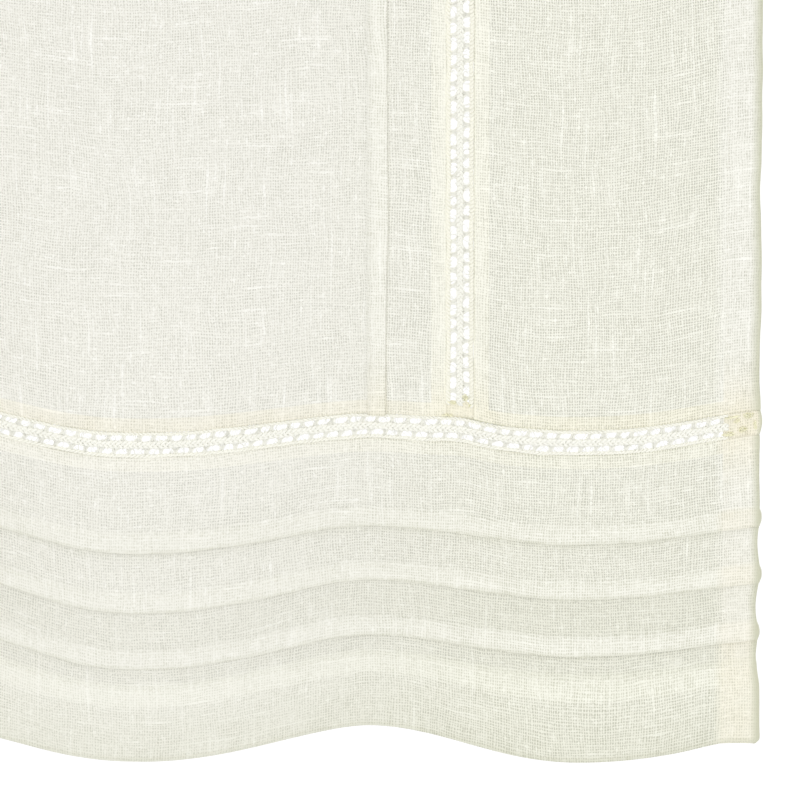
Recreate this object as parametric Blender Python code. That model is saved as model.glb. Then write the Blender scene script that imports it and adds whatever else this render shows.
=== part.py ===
"""Cafe curtain: a sheer linen panel with openwork insertions, tucks and hems.

Run it with: blender --background --python part.py
Units are metres. +Z is up, +X is to the right and the front faces -Y.
The origin is the middle of the top edge, by which the curtain hangs.
"""

from collections import namedtuple
from math import ceil, copysign, cos, exp, hypot, log, pi

import bmesh
import bpy

MM = 0.001

# The whole curtain as it hangs
WIDTH = 600 * MM
DROP = 610 * MM
SEAM_GAP = 0.3 * MM

# The cloth and its turned-back edges. A turning is behind the cloth.
CLOTH = 1.0 * MM
TURNING = 0.6 * MM
SIDE_HEM = 11 * MM
TOP_HEM = 11 * MM
BOTTOM_HEM = 26 * MM
SEAM_TURNING = 4.5 * MM

# The tucks, flaps that lie on the front: one upright by each side, and three across the hem band
TUCK = 5.5 * MM
TUCK_RISE = 1.0 * MM
TUCK_ROOT = 0.5 * MM
TUCK_FROM_SIDE = 112 * MM
CROSS_TUCKS = 3
CROSS_TUCK_PITCH = 18.7 * MM
FIRST_TUCK_BELOW = 34 * MM
SIDE_BULGE = 0.6 * MM

# The openwork insertions, with a cord along each edge and a braid between their two rows of holes
INSERTION = 8 * MM
INSERTION_CORD = 1.4 * MM
INSERTION_BRAID = 2.4 * MM
INSERTION_RISE = 0.5 * MM
INSERTION_FROM_SIDE = 90 * MM
INSERTION_FROM_BOTTOM = 104 * MM

# How closely the folds are followed
COLUMN_STEP = 10 * MM
ROW_STEP = 55 * MM
STEP_WIDTH = 0.25 * MM
SLOPE_STEP = 1 * MM

# Places worked out from those sizes
RIGHT = WIDTH / 2
CROSS = INSERTION_FROM_BOTTOM - DROP
CROSS_TOP = CROSS + INSERTION / 2
CROSS_FOOT = CROSS - INSERTION / 2
UPRIGHT = RIGHT - INSERTION_FROM_SIDE
UPRIGHT_INNER = UPRIGHT - INSERTION / 2
UPRIGHT_OUTER = UPRIGHT + INSERTION / 2

# Each hollow and crest of the folds, counted from the right edge. Its place, and how far it lies
# in front at five heights, are in millimetres. Minus is behind. Halfway is the share of the way
# to the next one at which the cloth has gone half of the depth.
Fold = namedtuple("Fold", "from_right halfway head panel lace tucks hem")
FOLDS = (
    Fold(0, 0.38, -3.0, -7.0, -3.5, -4.5, -2.4),
    Fold(54, 0.52, 5.0, 7.2, 6.0, 4.2, 9.9),
    Fold(118, 0.43, -2.5, -1.8, -3.8, -6.8, -9.9),
    Fold(186, 0.55, 2.5, 0.6, 7.2, 12.0, 9.4),
    Fold(250, 0.48, -4.0, -9.5, -10.5, -12.4, -8.5),
    Fold(310, 0.54, 3.5, 5.5, 7.5, 8.0, 9.5),
    Fold(372, 0.47, -3.0, -5.5, -7.0, -9.5, -10.0),
    Fold(436, 0.55, 4.0, 5.0, 6.0, 8.5, 10.0),
    Fold(490, 0.45, -2.5, -4.0, -5.0, -6.5, -8.0),
    Fold(546, 0.50, 4.5, 7.0, 7.5, 7.0, 9.0),
    Fold(600, 0.50, -1.0, -3.0, -4.0, -4.0, -2.0),
)
# The heights of the five depths of a fold, from the top edge down
LEVELS = (0.0, -440 * MM, CROSS, -568 * MM, -DROP)
# How far the cloth drops at the foot for each millimetre that it lies in front
FORWARD_DROP = 0.15
# Where an upright insertion meets the cross insertion, the stiff seams hold the cloth back
SEAM_PULL = 1.9 * MM
SEAM_REACH_ACROSS = 8 * MM
SEAM_REACH_DOWN = 30 * MM

# One line of a cloth's grid: its place, and how far its front and back faces stand out there
Station = namedtuple("Station", "at front back", defaults=(0.0, 0.0))


def ease(share):
    """A share from 0 to 1, turned into a smooth one that is level at both ends."""
    return (1 - cos(pi * share)) / 2


def depth_at(fold, z):
    """How far in front a fold's hollow or crest lies at one height."""
    depths = fold[2:]
    z = min(max(z, LEVELS[-1]), LEVELS[0])
    level = next(i for i in range(len(LEVELS) - 1) if z >= LEVELS[i + 1])
    share = (LEVELS[level] - z) / (LEVELS[level] - LEVELS[level + 1])
    return (depths[level] + (depths[level + 1] - depths[level]) * ease(share)) * MM


def forward(x, z):
    """How far the middle of the cloth lies in front of the plane that it hangs in."""
    from_right = min(max((RIGHT - x) / MM, FOLDS[0].from_right), FOLDS[-1].from_right)
    near, far = next(pair for pair in zip(FOLDS, FOLDS[1:]) if from_right <= pair[1].from_right)
    share = (from_right - near.from_right) / (far.from_right - near.from_right)
    share = ease(share ** (log(0.5) / log(near.halfway)))
    across = (abs(x) - UPRIGHT) / SEAM_REACH_ACROSS
    down = (z - CROSS) / SEAM_REACH_DOWN
    pull = SEAM_PULL * exp(-(across**2) - down**2)
    return depth_at(near, z) * (1 - share) + depth_at(far, z) * share - pull


def slant(x, z):
    """How much longer the way through a slanting cloth is along Y than square to its face."""
    half = SLOPE_STEP / 2
    across = (forward(x + half, z) - forward(x - half, z)) / SLOPE_STEP
    down = (forward(x, z + half) - forward(x, z - half)) / SLOPE_STEP
    return hypot(1, across, down)


def hung(column, row, behind):
    """The place in space of one point on a cloth's front or back face."""
    x, z = column.at, row.at
    depth = forward(x, z)
    if behind:
        out = -(CLOTH / 2 + column.back + row.back)
    else:
        out = CLOTH / 2 + column.front + row.front
    if abs(x) >= RIGHT:
        x += copysign(SIDE_BULGE * row.front / TUCK_RISE, x)
    return x, -(depth + out * slant(column.at, z)), z + FORWARD_DROP * depth * z / DROP


def turned(start, end):
    """Stations of an edge that is turned to the back, from the cloth's end to the turning's."""
    way = copysign(STEP_WIDTH, end - start)
    return [Station(start, 0, TURNING), Station(end, 0, TURNING), Station(end + way)]


def tuck(stitched, folded):
    """Stations of a tuck, from the line of its stitches to its folded edge."""
    way = copysign(STEP_WIDTH, folded - stitched)
    return [
        Station(stitched),
        Station(stitched + way, TUCK_ROOT),
        Station(folded, TUCK_RISE),
        Station(folded + way),
    ]


def openwork(middle):
    """Stations across an insertion, which is thick at its two cords and along its braid."""
    edge = (INSERTION - SEAM_GAP) / 2
    return [
        Station(middle + side * place, rise)
        for side in (-1, 1)
        for place, rise in (
            (edge, INSERTION_RISE),
            (edge - INSERTION_CORD, 0),
            (INSERTION_BRAID / 2, 0),
        )
    ] + [Station(middle, INSERTION_RISE)]


def filled(stations, step):
    """The stations from low to high, with more between any two that lie over a step apart."""
    stations = sorted(stations)
    close = stations[:1]
    for low, high in zip(stations, stations[1:]):
        count = ceil((high.at - low.at) / step)
        for i in range(1, count + 1):
            close.append(Station(*(a + (b - a) * i / count for a, b in zip(low, high))))
    return close


def cloth_object(name, columns, rows, material, holder):
    """One closed piece of cloth over a grid of columns, along X, and rows, along Z.

    The grid is first laid out flat, a unit for each column and row, and given its two faces.
    Then each of its points goes to its place in the hanging curtain.
    """
    columns = filled(columns, COLUMN_STEP)
    rows = filled(rows, ROW_STEP)
    across, up = len(columns) - 1, len(rows) - 1
    bm = bmesh.new()
    bmesh.ops.create_grid(bm, x_segments=across, y_segments=up, size=0.5)
    bmesh.ops.scale(bm, vec=(across, up, 1), verts=bm.verts)
    bmesh.ops.translate(bm, vec=(across / 2, up / 2, 0), verts=bm.verts)
    grown = bmesh.ops.extrude_face_region(bm, geom=bm.faces[:])["geom"]
    behind = {item for item in grown if isinstance(item, bmesh.types.BMVert)}
    for vert in bm.verts:
        column = columns[round(vert.co.x)]
        row = rows[round(vert.co.y)]
        vert.co = hung(column, row, vert in behind)
    bmesh.ops.recalc_face_normals(bm, faces=bm.faces)
    mesh = bpy.data.meshes.new(name)
    bm.to_mesh(mesh)
    bm.free()
    mesh.shade_smooth()
    mesh.materials.append(material)
    cloth = bpy.data.objects.new(name, mesh)
    cloth.parent = holder
    holder.users_collection[0].objects.link(cloth)
    return cloth


def centre_panel(material, holder):
    """The middle cloth, with an upright tuck near each side that folds outwards."""
    edge = UPRIGHT_INNER - SEAM_GAP / 2
    fold = RIGHT - TUCK_FROM_SIDE
    columns = []
    for side in (-1, 1):
        columns += turned(side * edge, side * (edge - SEAM_TURNING))
        columns += tuck(side * (fold - TUCK), side * fold)
    cloth_object("centre_panel", columns, panel_rows(), material, holder)


def side_panel(name, side, material, holder):
    """The cloth between an upright insertion and a side edge. Side is 1 on the right, -1 on the left."""
    edge = UPRIGHT_OUTER + SEAM_GAP / 2
    columns = turned(side * edge, side * (edge + SEAM_TURNING))
    columns += turned(side * RIGHT, side * (RIGHT - SIDE_HEM))
    cloth_object(name, columns, panel_rows(), material, holder)


def panel_rows():
    """Stations up a panel, from the cross insertion to the top edge, with both turned edges."""
    foot = CROSS_TOP + SEAM_GAP / 2
    return turned(foot, foot + SEAM_TURNING) + turned(0, -TOP_HEM)


def upright_insertion(name, side, material, holder):
    """An openwork strip down one side, from the top edge to the cross insertion."""
    cloth_object(name, openwork(side * UPRIGHT), panel_rows(), material, holder)


def cross_insertion(material, holder):
    """The openwork strip right across the curtain, with its ends in the side hems."""
    columns = turned(-RIGHT, SIDE_HEM - RIGHT) + turned(RIGHT, RIGHT - SIDE_HEM)
    cloth_object("cross_insertion", columns, openwork(CROSS), material, holder)


def hem_band(material, holder):
    """The cloth below the cross insertion, with its cross tucks and its deep bottom hem."""
    columns = turned(-RIGHT, SIDE_HEM - RIGHT) + turned(RIGHT, RIGHT - SIDE_HEM)
    top = CROSS_FOOT - SEAM_GAP / 2
    rows = turned(top, top - SEAM_TURNING) + turned(-DROP, BOTTOM_HEM - DROP)
    for number in range(CROSS_TUCKS):
        fold = CROSS - FIRST_TUCK_BELOW - number * CROSS_TUCK_PITCH
        rows += tuck(fold + TUCK, fold)
    cloth_object("hem_band", columns, rows, material, holder)


def finish(name, colour, roughness):
    """A plain material with the colour and roughness of one kind of cloth."""
    material = bpy.data.materials.new(name)
    material.use_nodes = True
    shader = material.node_tree.nodes["Principled BSDF"]
    shader.inputs["Base Color"].default_value = (*colour, 1)
    shader.inputs["Roughness"].default_value = roughness
    shader.inputs["Metallic"].default_value = 0
    return material


def clear_scene():
    """Remove every object, so that the scene holds the curtain alone."""
    for old in list(bpy.data.objects):
        bpy.data.objects.remove(old, do_unlink=True)


def main():
    clear_scene()
    curtain = bpy.data.collections.new("cafe_curtain")
    bpy.context.scene.collection.children.link(curtain)
    top_edge = bpy.data.objects.new("top_edge", None)
    curtain.objects.link(top_edge)

    linen = finish("linen", (0.84, 0.83, 0.75), 0.85)
    openwork_thread = finish("openwork_thread", (0.90, 0.89, 0.80), 0.70)

    centre_panel(linen, top_edge)
    side_panel("right_panel", 1, linen, top_edge)
    side_panel("left_panel", -1, linen, top_edge)
    upright_insertion("right_insertion", 1, openwork_thread, top_edge)
    upright_insertion("left_insertion", -1, openwork_thread, top_edge)
    cross_insertion(openwork_thread, top_edge)
    hem_band(linen, top_edge)


main()
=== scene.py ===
"""Dresses the cafe curtain: sheer linen with tucks and hems, openwork insertions, stitches and knots.

Units are metres. +Z is up, +X is to the right and the front faces -Y.
The origin is the middle of the top edge, by which the curtain hangs.
"""

import enum
import logging
import math
from dataclasses import dataclass, field
from typing import NamedTuple

import bmesh
import bpy
import numpy as np
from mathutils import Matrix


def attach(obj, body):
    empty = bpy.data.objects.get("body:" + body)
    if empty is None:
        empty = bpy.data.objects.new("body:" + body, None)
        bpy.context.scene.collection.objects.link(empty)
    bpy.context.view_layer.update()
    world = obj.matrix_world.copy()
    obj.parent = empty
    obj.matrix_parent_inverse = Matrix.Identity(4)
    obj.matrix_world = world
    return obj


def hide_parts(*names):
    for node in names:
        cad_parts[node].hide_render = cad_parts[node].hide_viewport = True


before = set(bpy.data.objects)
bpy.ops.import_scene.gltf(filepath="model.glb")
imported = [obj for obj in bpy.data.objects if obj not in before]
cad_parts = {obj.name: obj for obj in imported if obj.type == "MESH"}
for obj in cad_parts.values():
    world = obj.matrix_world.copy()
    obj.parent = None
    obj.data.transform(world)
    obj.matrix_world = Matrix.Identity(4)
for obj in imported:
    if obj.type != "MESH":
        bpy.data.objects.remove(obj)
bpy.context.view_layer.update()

LOG = logging.getLogger("cafe_curtain")
MM = 0.001
FAR = 1.0
CLOTH_MAP = "cloth"
CENTRE_NAME = "centre_cloth"
BAND_NAME = "band_cloth"
FINER_WAVES = ((1.0, 0.4), (0.63, 0.3), (0.37, 0.2), (0.21, 0.15))

Colour = tuple[float, float, float]
Socket = bpy.types.NodeSocket
Value = Socket | float | tuple[float, ...]
Points = np.ndarray


class Slot(enum.Enum):
    """The record's material slots."""

    LINEN = "linen"
    OPENWORK = "openwork_thread"


class Layer(enum.Enum):
    """The attributes that a piece carries for its finish."""

    LAYERS = "layers"
    BRIGHTNESS = "brightness"
    WARMTH = "warmth"
    YELLOW = "yellow"
    SHADE = "shade"
    OPENNESS = "openness"


@dataclass(frozen=True)
class CurtainSizes:
    """The driving sizes of the curtain, the same as those of its solids."""

    width: float = 600 * MM
    drop: float = 610 * MM
    seam_gap: float = 0.3 * MM
    side_hem: float = 11 * MM
    top_hem: float = 11 * MM
    bottom_hem: float = 26 * MM
    hem_lip: float = 7 * MM
    seam_turning: float = 4.5 * MM
    tuck: float = 5.5 * MM
    tuck_from_side: float = 112 * MM
    cross_tucks: int = 3
    cross_tuck_pitch: float = 18.7 * MM
    first_tuck_below: float = 34 * MM
    insertion: float = 8 * MM
    insertion_from_side: float = 90 * MM
    insertion_from_bottom: float = 104 * MM
    cloth: float = 0.22 * MM
    layer: float = 0.34 * MM

    @property
    def right(self) -> float:
        """The place of the right edge."""
        return self.width / 2

    @property
    def cross(self) -> float:
        """The height of the middle of the cross insertion."""
        return self.insertion_from_bottom - self.drop

    @property
    def panel_foot(self) -> float:
        """The height of a panel's lower edge."""
        return self.cross + (self.insertion + self.seam_gap) / 2

    @property
    def band_top(self) -> float:
        """The height of the hem band's upper edge."""
        return self.cross - (self.insertion + self.seam_gap) / 2

    @property
    def upright(self) -> float:
        """The place of the middle of the right upright insertion."""
        return self.right - self.insertion_from_side

    @property
    def centre_edge(self) -> float:
        """The place of the centre panel's right edge."""
        return self.upright - (self.insertion + self.seam_gap) / 2

    @property
    def side_edge(self) -> float:
        """The place of the right panel's inner edge."""
        return self.upright + (self.insertion + self.seam_gap) / 2

    def cross_tuck_edges(self) -> list[float]:
        """The heights of the folded edges of the cross tucks, the lowest first."""
        first = self.cross - self.first_tuck_below
        return [first - i * self.cross_tuck_pitch for i in reversed(range(self.cross_tucks))]


class Fold(NamedTuple):
    """A hollow or crest of the folds, in millimetres, with its depths at five heights."""

    from_right: float
    halfway: float
    head: float
    panel: float
    lace: float
    tucks: float
    hem: float


def ease(share: Points) -> Points:
    """A share from 0 to 1, turned into a smooth one that is level at both ends."""
    return (1 - np.cos(np.pi * share)) / 2


class Waves(NamedTuple):
    """Smooth unevenness along a line: the length of its longest waves, and which line of many it is."""

    length: float
    seed: int

    def at(self, place: Points) -> Points:
        """How uneven it is at each place.

        Args:
            place: where along the line each value is wanted, in metres.

        Returns:
            One value between about -1 and 1 for each place.
        """
        phases = np.random.default_rng(self.seed).uniform(0, 2 * np.pi, len(FINER_WAVES))
        total = np.zeros_like(place)
        for phase, (finer, share) in zip(phases, FINER_WAVES):
            total += share * np.sin(2 * np.pi * place / (self.length * finer) + phase)
        return total


@dataclass(frozen=True)
class Hang:
    """How the whole curtain hangs: in the folds of its solids, with small sways at its side hems."""

    sizes: CurtainSizes
    folds: tuple[Fold, ...] = (
        Fold(0, 0.38, -3.0, -7.0, -3.5, -4.5, -2.4),
        Fold(54, 0.52, 5.0, 7.2, 6.0, 4.2, 9.9),
        Fold(118, 0.43, -2.5, -1.8, -3.8, -6.8, -9.9),
        Fold(186, 0.55, 2.5, 0.6, 7.2, 12.0, 9.4),
        Fold(250, 0.48, -4.0, -9.5, -10.5, -12.4, -8.5),
        Fold(310, 0.54, 3.5, 5.5, 7.5, 8.0, 9.5),
        Fold(372, 0.47, -3.0, -5.5, -7.0, -9.5, -10.0),
        Fold(436, 0.55, 4.0, 5.0, 6.0, 8.5, 10.0),
        Fold(490, 0.45, -2.5, -4.0, -5.0, -6.5, -8.0),
        Fold(546, 0.50, 4.5, 7.0, 7.5, 7.0, 9.0),
        Fold(600, 0.50, -1.0, -3.0, -4.0, -4.0, -2.0),
    )
    panel_level: float = 440 * MM
    tucks_level: float = 568 * MM
    forward_drop: float = 0.15
    seam_pull: float = 1.9 * MM
    seam_reach_across: float = 8 * MM
    seam_reach_down: float = 30 * MM
    slope_step: float = 1 * MM
    crease: float = 0.16 * MM
    crease_across: float = 0.9
    crease_down: float = 0.3
    crease_waves: Waves = Waves(38 * MM, 11)
    crease_fading: Waves = Waves(90 * MM, 13)
    end_rise: float = 1.1 * MM
    end_reach_across: float = 26 * MM
    end_reach_down: float = 42 * MM
    side_sway: float = 0.45 * MM
    side_waves: Waves = Waves(75 * MM, 19)
    side_scallop: float = 0.7 * MM
    below_last_tuck: float = 14 * MM
    corner_radius: float = 2.2 * MM
    corner_roundness: float = 0.9
    corner_raise: float = 0.5 * MM
    raise_at: float = 1.1
    raise_over: float = 0.8
    corner_drop: float = 1.5 * MM
    corner_reach: float = 14 * MM

    def forward(self, x: Points, z: Points) -> Points:
        """How far the middle of the cloth lies in front of the plane that it hangs in.

        Args:
            x: places across the curtain.
            z: heights, 0 at the top edge.

        Returns:
            One depth for each place.
        """
        sizes = self.sizes
        places = np.array([fold.from_right for fold in self.folds]) * MM
        from_right = np.clip(sizes.right - x, places[0], places[-1])
        near = np.clip(np.searchsorted(places, from_right) - 1, 0, len(places) - 2)
        bend = math.log(0.5) / np.log([fold.halfway for fold in self.folds])
        share = (from_right - places[near]) / (places[near + 1] - places[near])
        share = ease(share ** bend[near])
        nearer, farther = self._depth(near, z), self._depth(near + 1, z)
        across = (np.abs(x) - sizes.upright) / self.seam_reach_across
        down = (z - sizes.cross) / self.seam_reach_down
        pull = self.seam_pull * np.exp(-(across**2) - down**2)
        return nearer * (1 - share) + farther * share - pull

    def _depth(self, fold: Points, z: Points) -> Points:
        """How far in front the hollows or crests of these numbers lie at these heights.

        Args:
            fold: the number of a hollow or crest for each place.
            z: heights, 0 at the top edge.

        Returns:
            One depth for each place.
        """
        sizes = self.sizes
        levels = np.array([0, self.panel_level, -sizes.cross, self.tucks_level, sizes.drop])
        depths = np.array([list(row)[2:] for row in self.folds]) * MM
        down = np.clip(-z, 0, sizes.drop)
        level = np.clip(np.searchsorted(levels, down) - 1, 0, len(levels) - 2)
        share = ease((down - levels[level]) / (levels[level + 1] - levels[level]))
        return depths[fold, level] * (1 - share) + depths[fold, level + 1] * share

    def place(self, x: Points, z: Points, out: Points) -> Points:
        """The places in space of points on or near the cloth.

        Args:
            x: places across the curtain.
            z: heights, 0 at the top edge.
            out: how far in front of the cloth's middle they are, square to it.

        Returns:
            A row of three coordinates for each point.
        """
        depth, half = self.forward(x, z), self.slope_step / 2
        aslant = x * self.crease_across + z * self.crease_down
        out = out + self.crease * self.crease_waves.at(aslant) * self.crease_fading.at(z)
        across = (self.forward(x + half, z) - self.forward(x - half, z)) / self.slope_step
        down = (self.forward(x, z + half) - self.forward(x, z - half)) / self.slope_step
        slant = np.sqrt(1 + across**2 + down**2)
        height = z + self.forward_drop * depth * z / self.sizes.drop
        from_end = (self.sizes.right - np.abs(x)) / self.end_reach_across
        from_seam = (z - self.sizes.cross) / self.end_reach_down
        height += self.end_rise * np.exp(-(from_end**2) - from_seam**2)
        x, height = self._shaped(x, z, height)
        return np.stack([x, -(depth + out * slant), height], axis=1)

    def _shaped(self, x: Points, z: Points, height: Points) -> tuple[Points, Points]:
        """Where the places go that lie in a side hem, which sways a little and ends in a round corner.

        Args:
            x: places across the curtain.
            z: heights on the flat curtain.
            height: heights of the hanging curtain.

        Returns:
            The new places across and the new heights.
        """
        sizes, radius = self.sizes, self.corner_radius
        from_side, from_foot = np.abs(x) - sizes.right, z + sizes.drop
        past = np.clip(from_side / sizes.side_hem + 1, 0, 1)
        by_foot = np.exp(-((from_foot / self.corner_reach) ** 2))
        by_hem = np.exp(-(((from_side / sizes.side_hem + self.raise_at) / self.raise_over) ** 2))
        height = height + by_foot * (self.corner_raise * by_hem - self.corner_drop * past)
        rounding = 1 - np.sqrt(1 - self.corner_roundness * np.clip(1 - from_foot / radius, 0, 1) ** 2)
        inwards = radius * rounding * np.clip(from_side / radius + 1, 0, 1)
        sway = self.side_sway * self.side_waves.at(z) - self.side_scallop * self._between_tucks(z)
        return x + np.sign(x) * (sway * past**2 - inwards), height

    def _between_tucks(self, z: Points) -> Points:
        """How far each height is from the tucks above and below it, 0 at a tuck and 1 midway.

        Args:
            z: heights on the flat curtain.

        Returns:
            One share from 0 to 1 for each height.
        """
        edges = self.sizes.cross_tuck_edges()
        lows = [edges[0] - self.below_last_tuck, *(edge + self.sizes.tuck for edge in edges[:-1])]
        shares = [np.clip((z - low) / (high - low), 0, 1) for low, high in zip(lows, edges)]
        return np.sum([np.sin(np.pi * share) for share in shares], axis=0)


class Station(NamedTuple):
    """One line of a cloth's grid.

    at is its place in the curtain, out how far it stands out on a tuck, angle how far it has
    turned to the back, from 0 to pi, side the side of the edge that it turns over, room the
    radius of that turn, and free how loose a tuck's edge is there.
    """

    at: float
    out: float = 0.0
    angle: float = 0.0
    side: int = 0
    room: float = 0.0
    free: float = 0.0


@dataclass
class Walk:
    """The way of a cut cloth in one direction, over its turnings and its tucks."""

    step: float
    stations: list[Station] = field(default_factory=list)
    turn_steps: int = 4
    layer_steps: tuple[float, ...] = (-1, -0.4, 0.4, 1)
    depth_steps: tuple[float, ...] = (-1, -0.5, 0, 0.5, 1)

    def start(self, station: Station) -> "Walk":
        """Begins at the cloth's cut edge."""
        self.stations.append(station)
        return self

    def run(self, at: float, out: float | None = None, free: float = 0.0) -> "Walk":
        """Goes straight on to another place.

        Args:
            at: the place in the curtain.
            out: how far the cloth stands out there, or None for no change.
            free: how loose the cloth is there.

        Returns:
            The walk itself.
        """
        last = self.stations[-1]
        end = last._replace(at=at, out=last.out if out is None else out, free=free)
        count = max(1, math.ceil(abs(at - last.at) / self.step))
        for i in range(1, count + 1):
            self.stations.append(Station(*(a + (b - a) * i / count for a, b in zip(last, end))))
        return self

    def run_past(self, stops: list[float]) -> "Walk":
        """Goes straight on through these places, so that the cloth's marks change sharply there.

        Args:
            stops: the places, in the order in which the walk reaches them.

        Returns:
            The walk itself.
        """
        for stop in stops:
            self.run(stop)
        return self

    def loop(self, out: float) -> "Walk":
        """Turns round on to another layer, as at a tuck's root and at its folded edge.

        Args:
            out: how far that layer stands out.

        Returns:
            The walk itself.
        """
        before, last = self.stations[-2:]
        heading = math.copysign(1, last.at - before.at)
        radius = (out - last.out) / 2
        for i in range(1, self.turn_steps + 1):
            angle = math.pi * i / self.turn_steps
            at = last.at + heading * abs(radius) * math.sin(angle)
            self.stations.append(last._replace(at=at, out=last.out + radius * (1 - math.cos(angle))))
        return self

    def fold(self, side: int, room: float) -> "Walk":
        """Takes the cloth over an edge, from the face to the back or the other way.

        Args:
            side: 1 where the edge lies up or to the right, -1 where it lies down or to the left.
            room: the radius of the turn.

        Returns:
            The walk itself.
        """
        last = self.stations[-1]
        to_back = last.angle < math.pi / 2
        for i in range(self.turn_steps + 1):
            turned = math.pi * i / self.turn_steps
            angle = turned if to_back else math.pi - turned
            if i or last.room != room:
                self.stations.append(last._replace(angle=angle, side=side, room=room))
        return self

    def column(self, name: str) -> Points:
        """One value of every station."""
        return np.array([getattr(station, name) for station in self.stations], float)

    def flat(self) -> Points:
        """The place of every station on the cut cloth, laid flat.

        Returns:
            The length of cloth up to each station.
        """
        at, out = self.column("at"), self.column("out")
        arc = np.diff(self.column("angle")) * self.column("room")[1:]
        steps = np.sqrt(np.diff(at) ** 2 + np.diff(out) ** 2 + arc**2)
        return np.concatenate([[0], np.cumsum(steps)])

    def _crossing(self, at: Points) -> Points:
        """Which runs between two stations pass each of these places.

        Args:
            at: the places.

        Returns:
            A row for each place, with True for each run that passes it.
        """
        place = self.column("at")
        low, high = np.minimum(place[:-1], place[1:]), np.maximum(place[:-1], place[1:])
        return (low[None, :] < at[:, None]) & (at[:, None] <= high[None, :])

    def passes(self, at: Points, blur: float = 0.15 * MM) -> Points:
        """How many layers of the cloth lie over each other at these places, with soft steps."""
        counts = np.array([self._crossing(at + blur * side).sum(1) for side in self.layer_steps])
        return counts.sum(0) / np.maximum((counts > 0).sum(0), 1)

    def behind(self, at: Points, blur: float = 0.6 * MM) -> Points:
        """How far the layers at these places reach behind the face, with soft steps.

        Args:
            at: the places.
            blur: how far to each side of a place the layers are looked up.

        Returns:
            One depth for each place.
        """
        angle, room = self.column("angle"), self.column("room")
        depth = room * (1 - np.cos(angle)) - self.column("out") * np.cos(angle)
        depth = np.maximum(depth[:-1], depth[1:])
        reached = [
            np.max(self._crossing(at + blur * side) * depth[None, :], axis=1)
            for side in self.depth_steps
        ]
        return np.mean(reached, axis=0)


def read_points(mesh: bpy.types.Mesh) -> Points:
    """The places of a mesh's points, as rows of three.

    Args:
        mesh: the mesh.

    Returns:
        A row for each point.
    """
    places = np.empty(len(mesh.vertices) * 3)
    mesh.vertices.foreach_get("co", places)
    return places.reshape(-1, 3)


def write_points(mesh: bpy.types.Mesh, places: Points) -> None:
    """Moves a mesh's points to these places."""
    mesh.vertices.foreach_set("co", places.astype(np.float32).ravel())
    mesh.update()


def mark(mesh: bpy.types.Mesh, layer: Layer, values: Points) -> None:
    """Gives a mesh one value a point, which its finish reads."""
    attribute = mesh.attributes.new(layer.value, "FLOAT", "POINT")
    attribute.data.foreach_set("value", values.astype(np.float32))


def grid_mesh(name: str, columns: int, rows: int) -> bpy.types.Mesh:
    """Makes a flat grid, which reaches from -0.5 to 0.5 each way.

    Args:
        name: the mesh's name.
        columns: how many faces it has across.
        rows: how many faces it has up.

    Returns:
        The mesh.
    """
    bm = bmesh.new()
    bmesh.ops.create_grid(bm, x_segments=columns, y_segments=rows, size=0.5)
    mesh = bpy.data.meshes.new(name)
    bm.to_mesh(mesh)
    bm.free()
    return mesh


def finished(
    name: str, mesh: bpy.types.Mesh, material: bpy.types.Material, nodes: list[str]
) -> bpy.types.Object:
    """Makes a piece of a finished mesh, which rides on the curtain.

    Args:
        name: the piece's name.
        mesh: its mesh, in place.
        material: its finish.
        nodes: the CAD nodes that the piece stands for.

    Returns:
        The piece.
    """
    mesh.shade_smooth()
    mesh.materials.append(material)
    piece = bpy.data.objects.new(name, mesh)
    bpy.context.scene.collection.objects.link(piece)
    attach(piece, "root")
    if nodes:
        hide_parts(*nodes)
    LOG.info("%s: %d faces", name, len(mesh.polygons))
    return piece


def within(place: Points, low: float, high: float, soft: float) -> Points:
    """1 between two places and 0 outside them, with a soft step at each."""
    rise = np.clip((place - low) / soft + 1, 0, 1)
    return rise * np.clip((high - place) / soft + 1, 0, 1)


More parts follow.
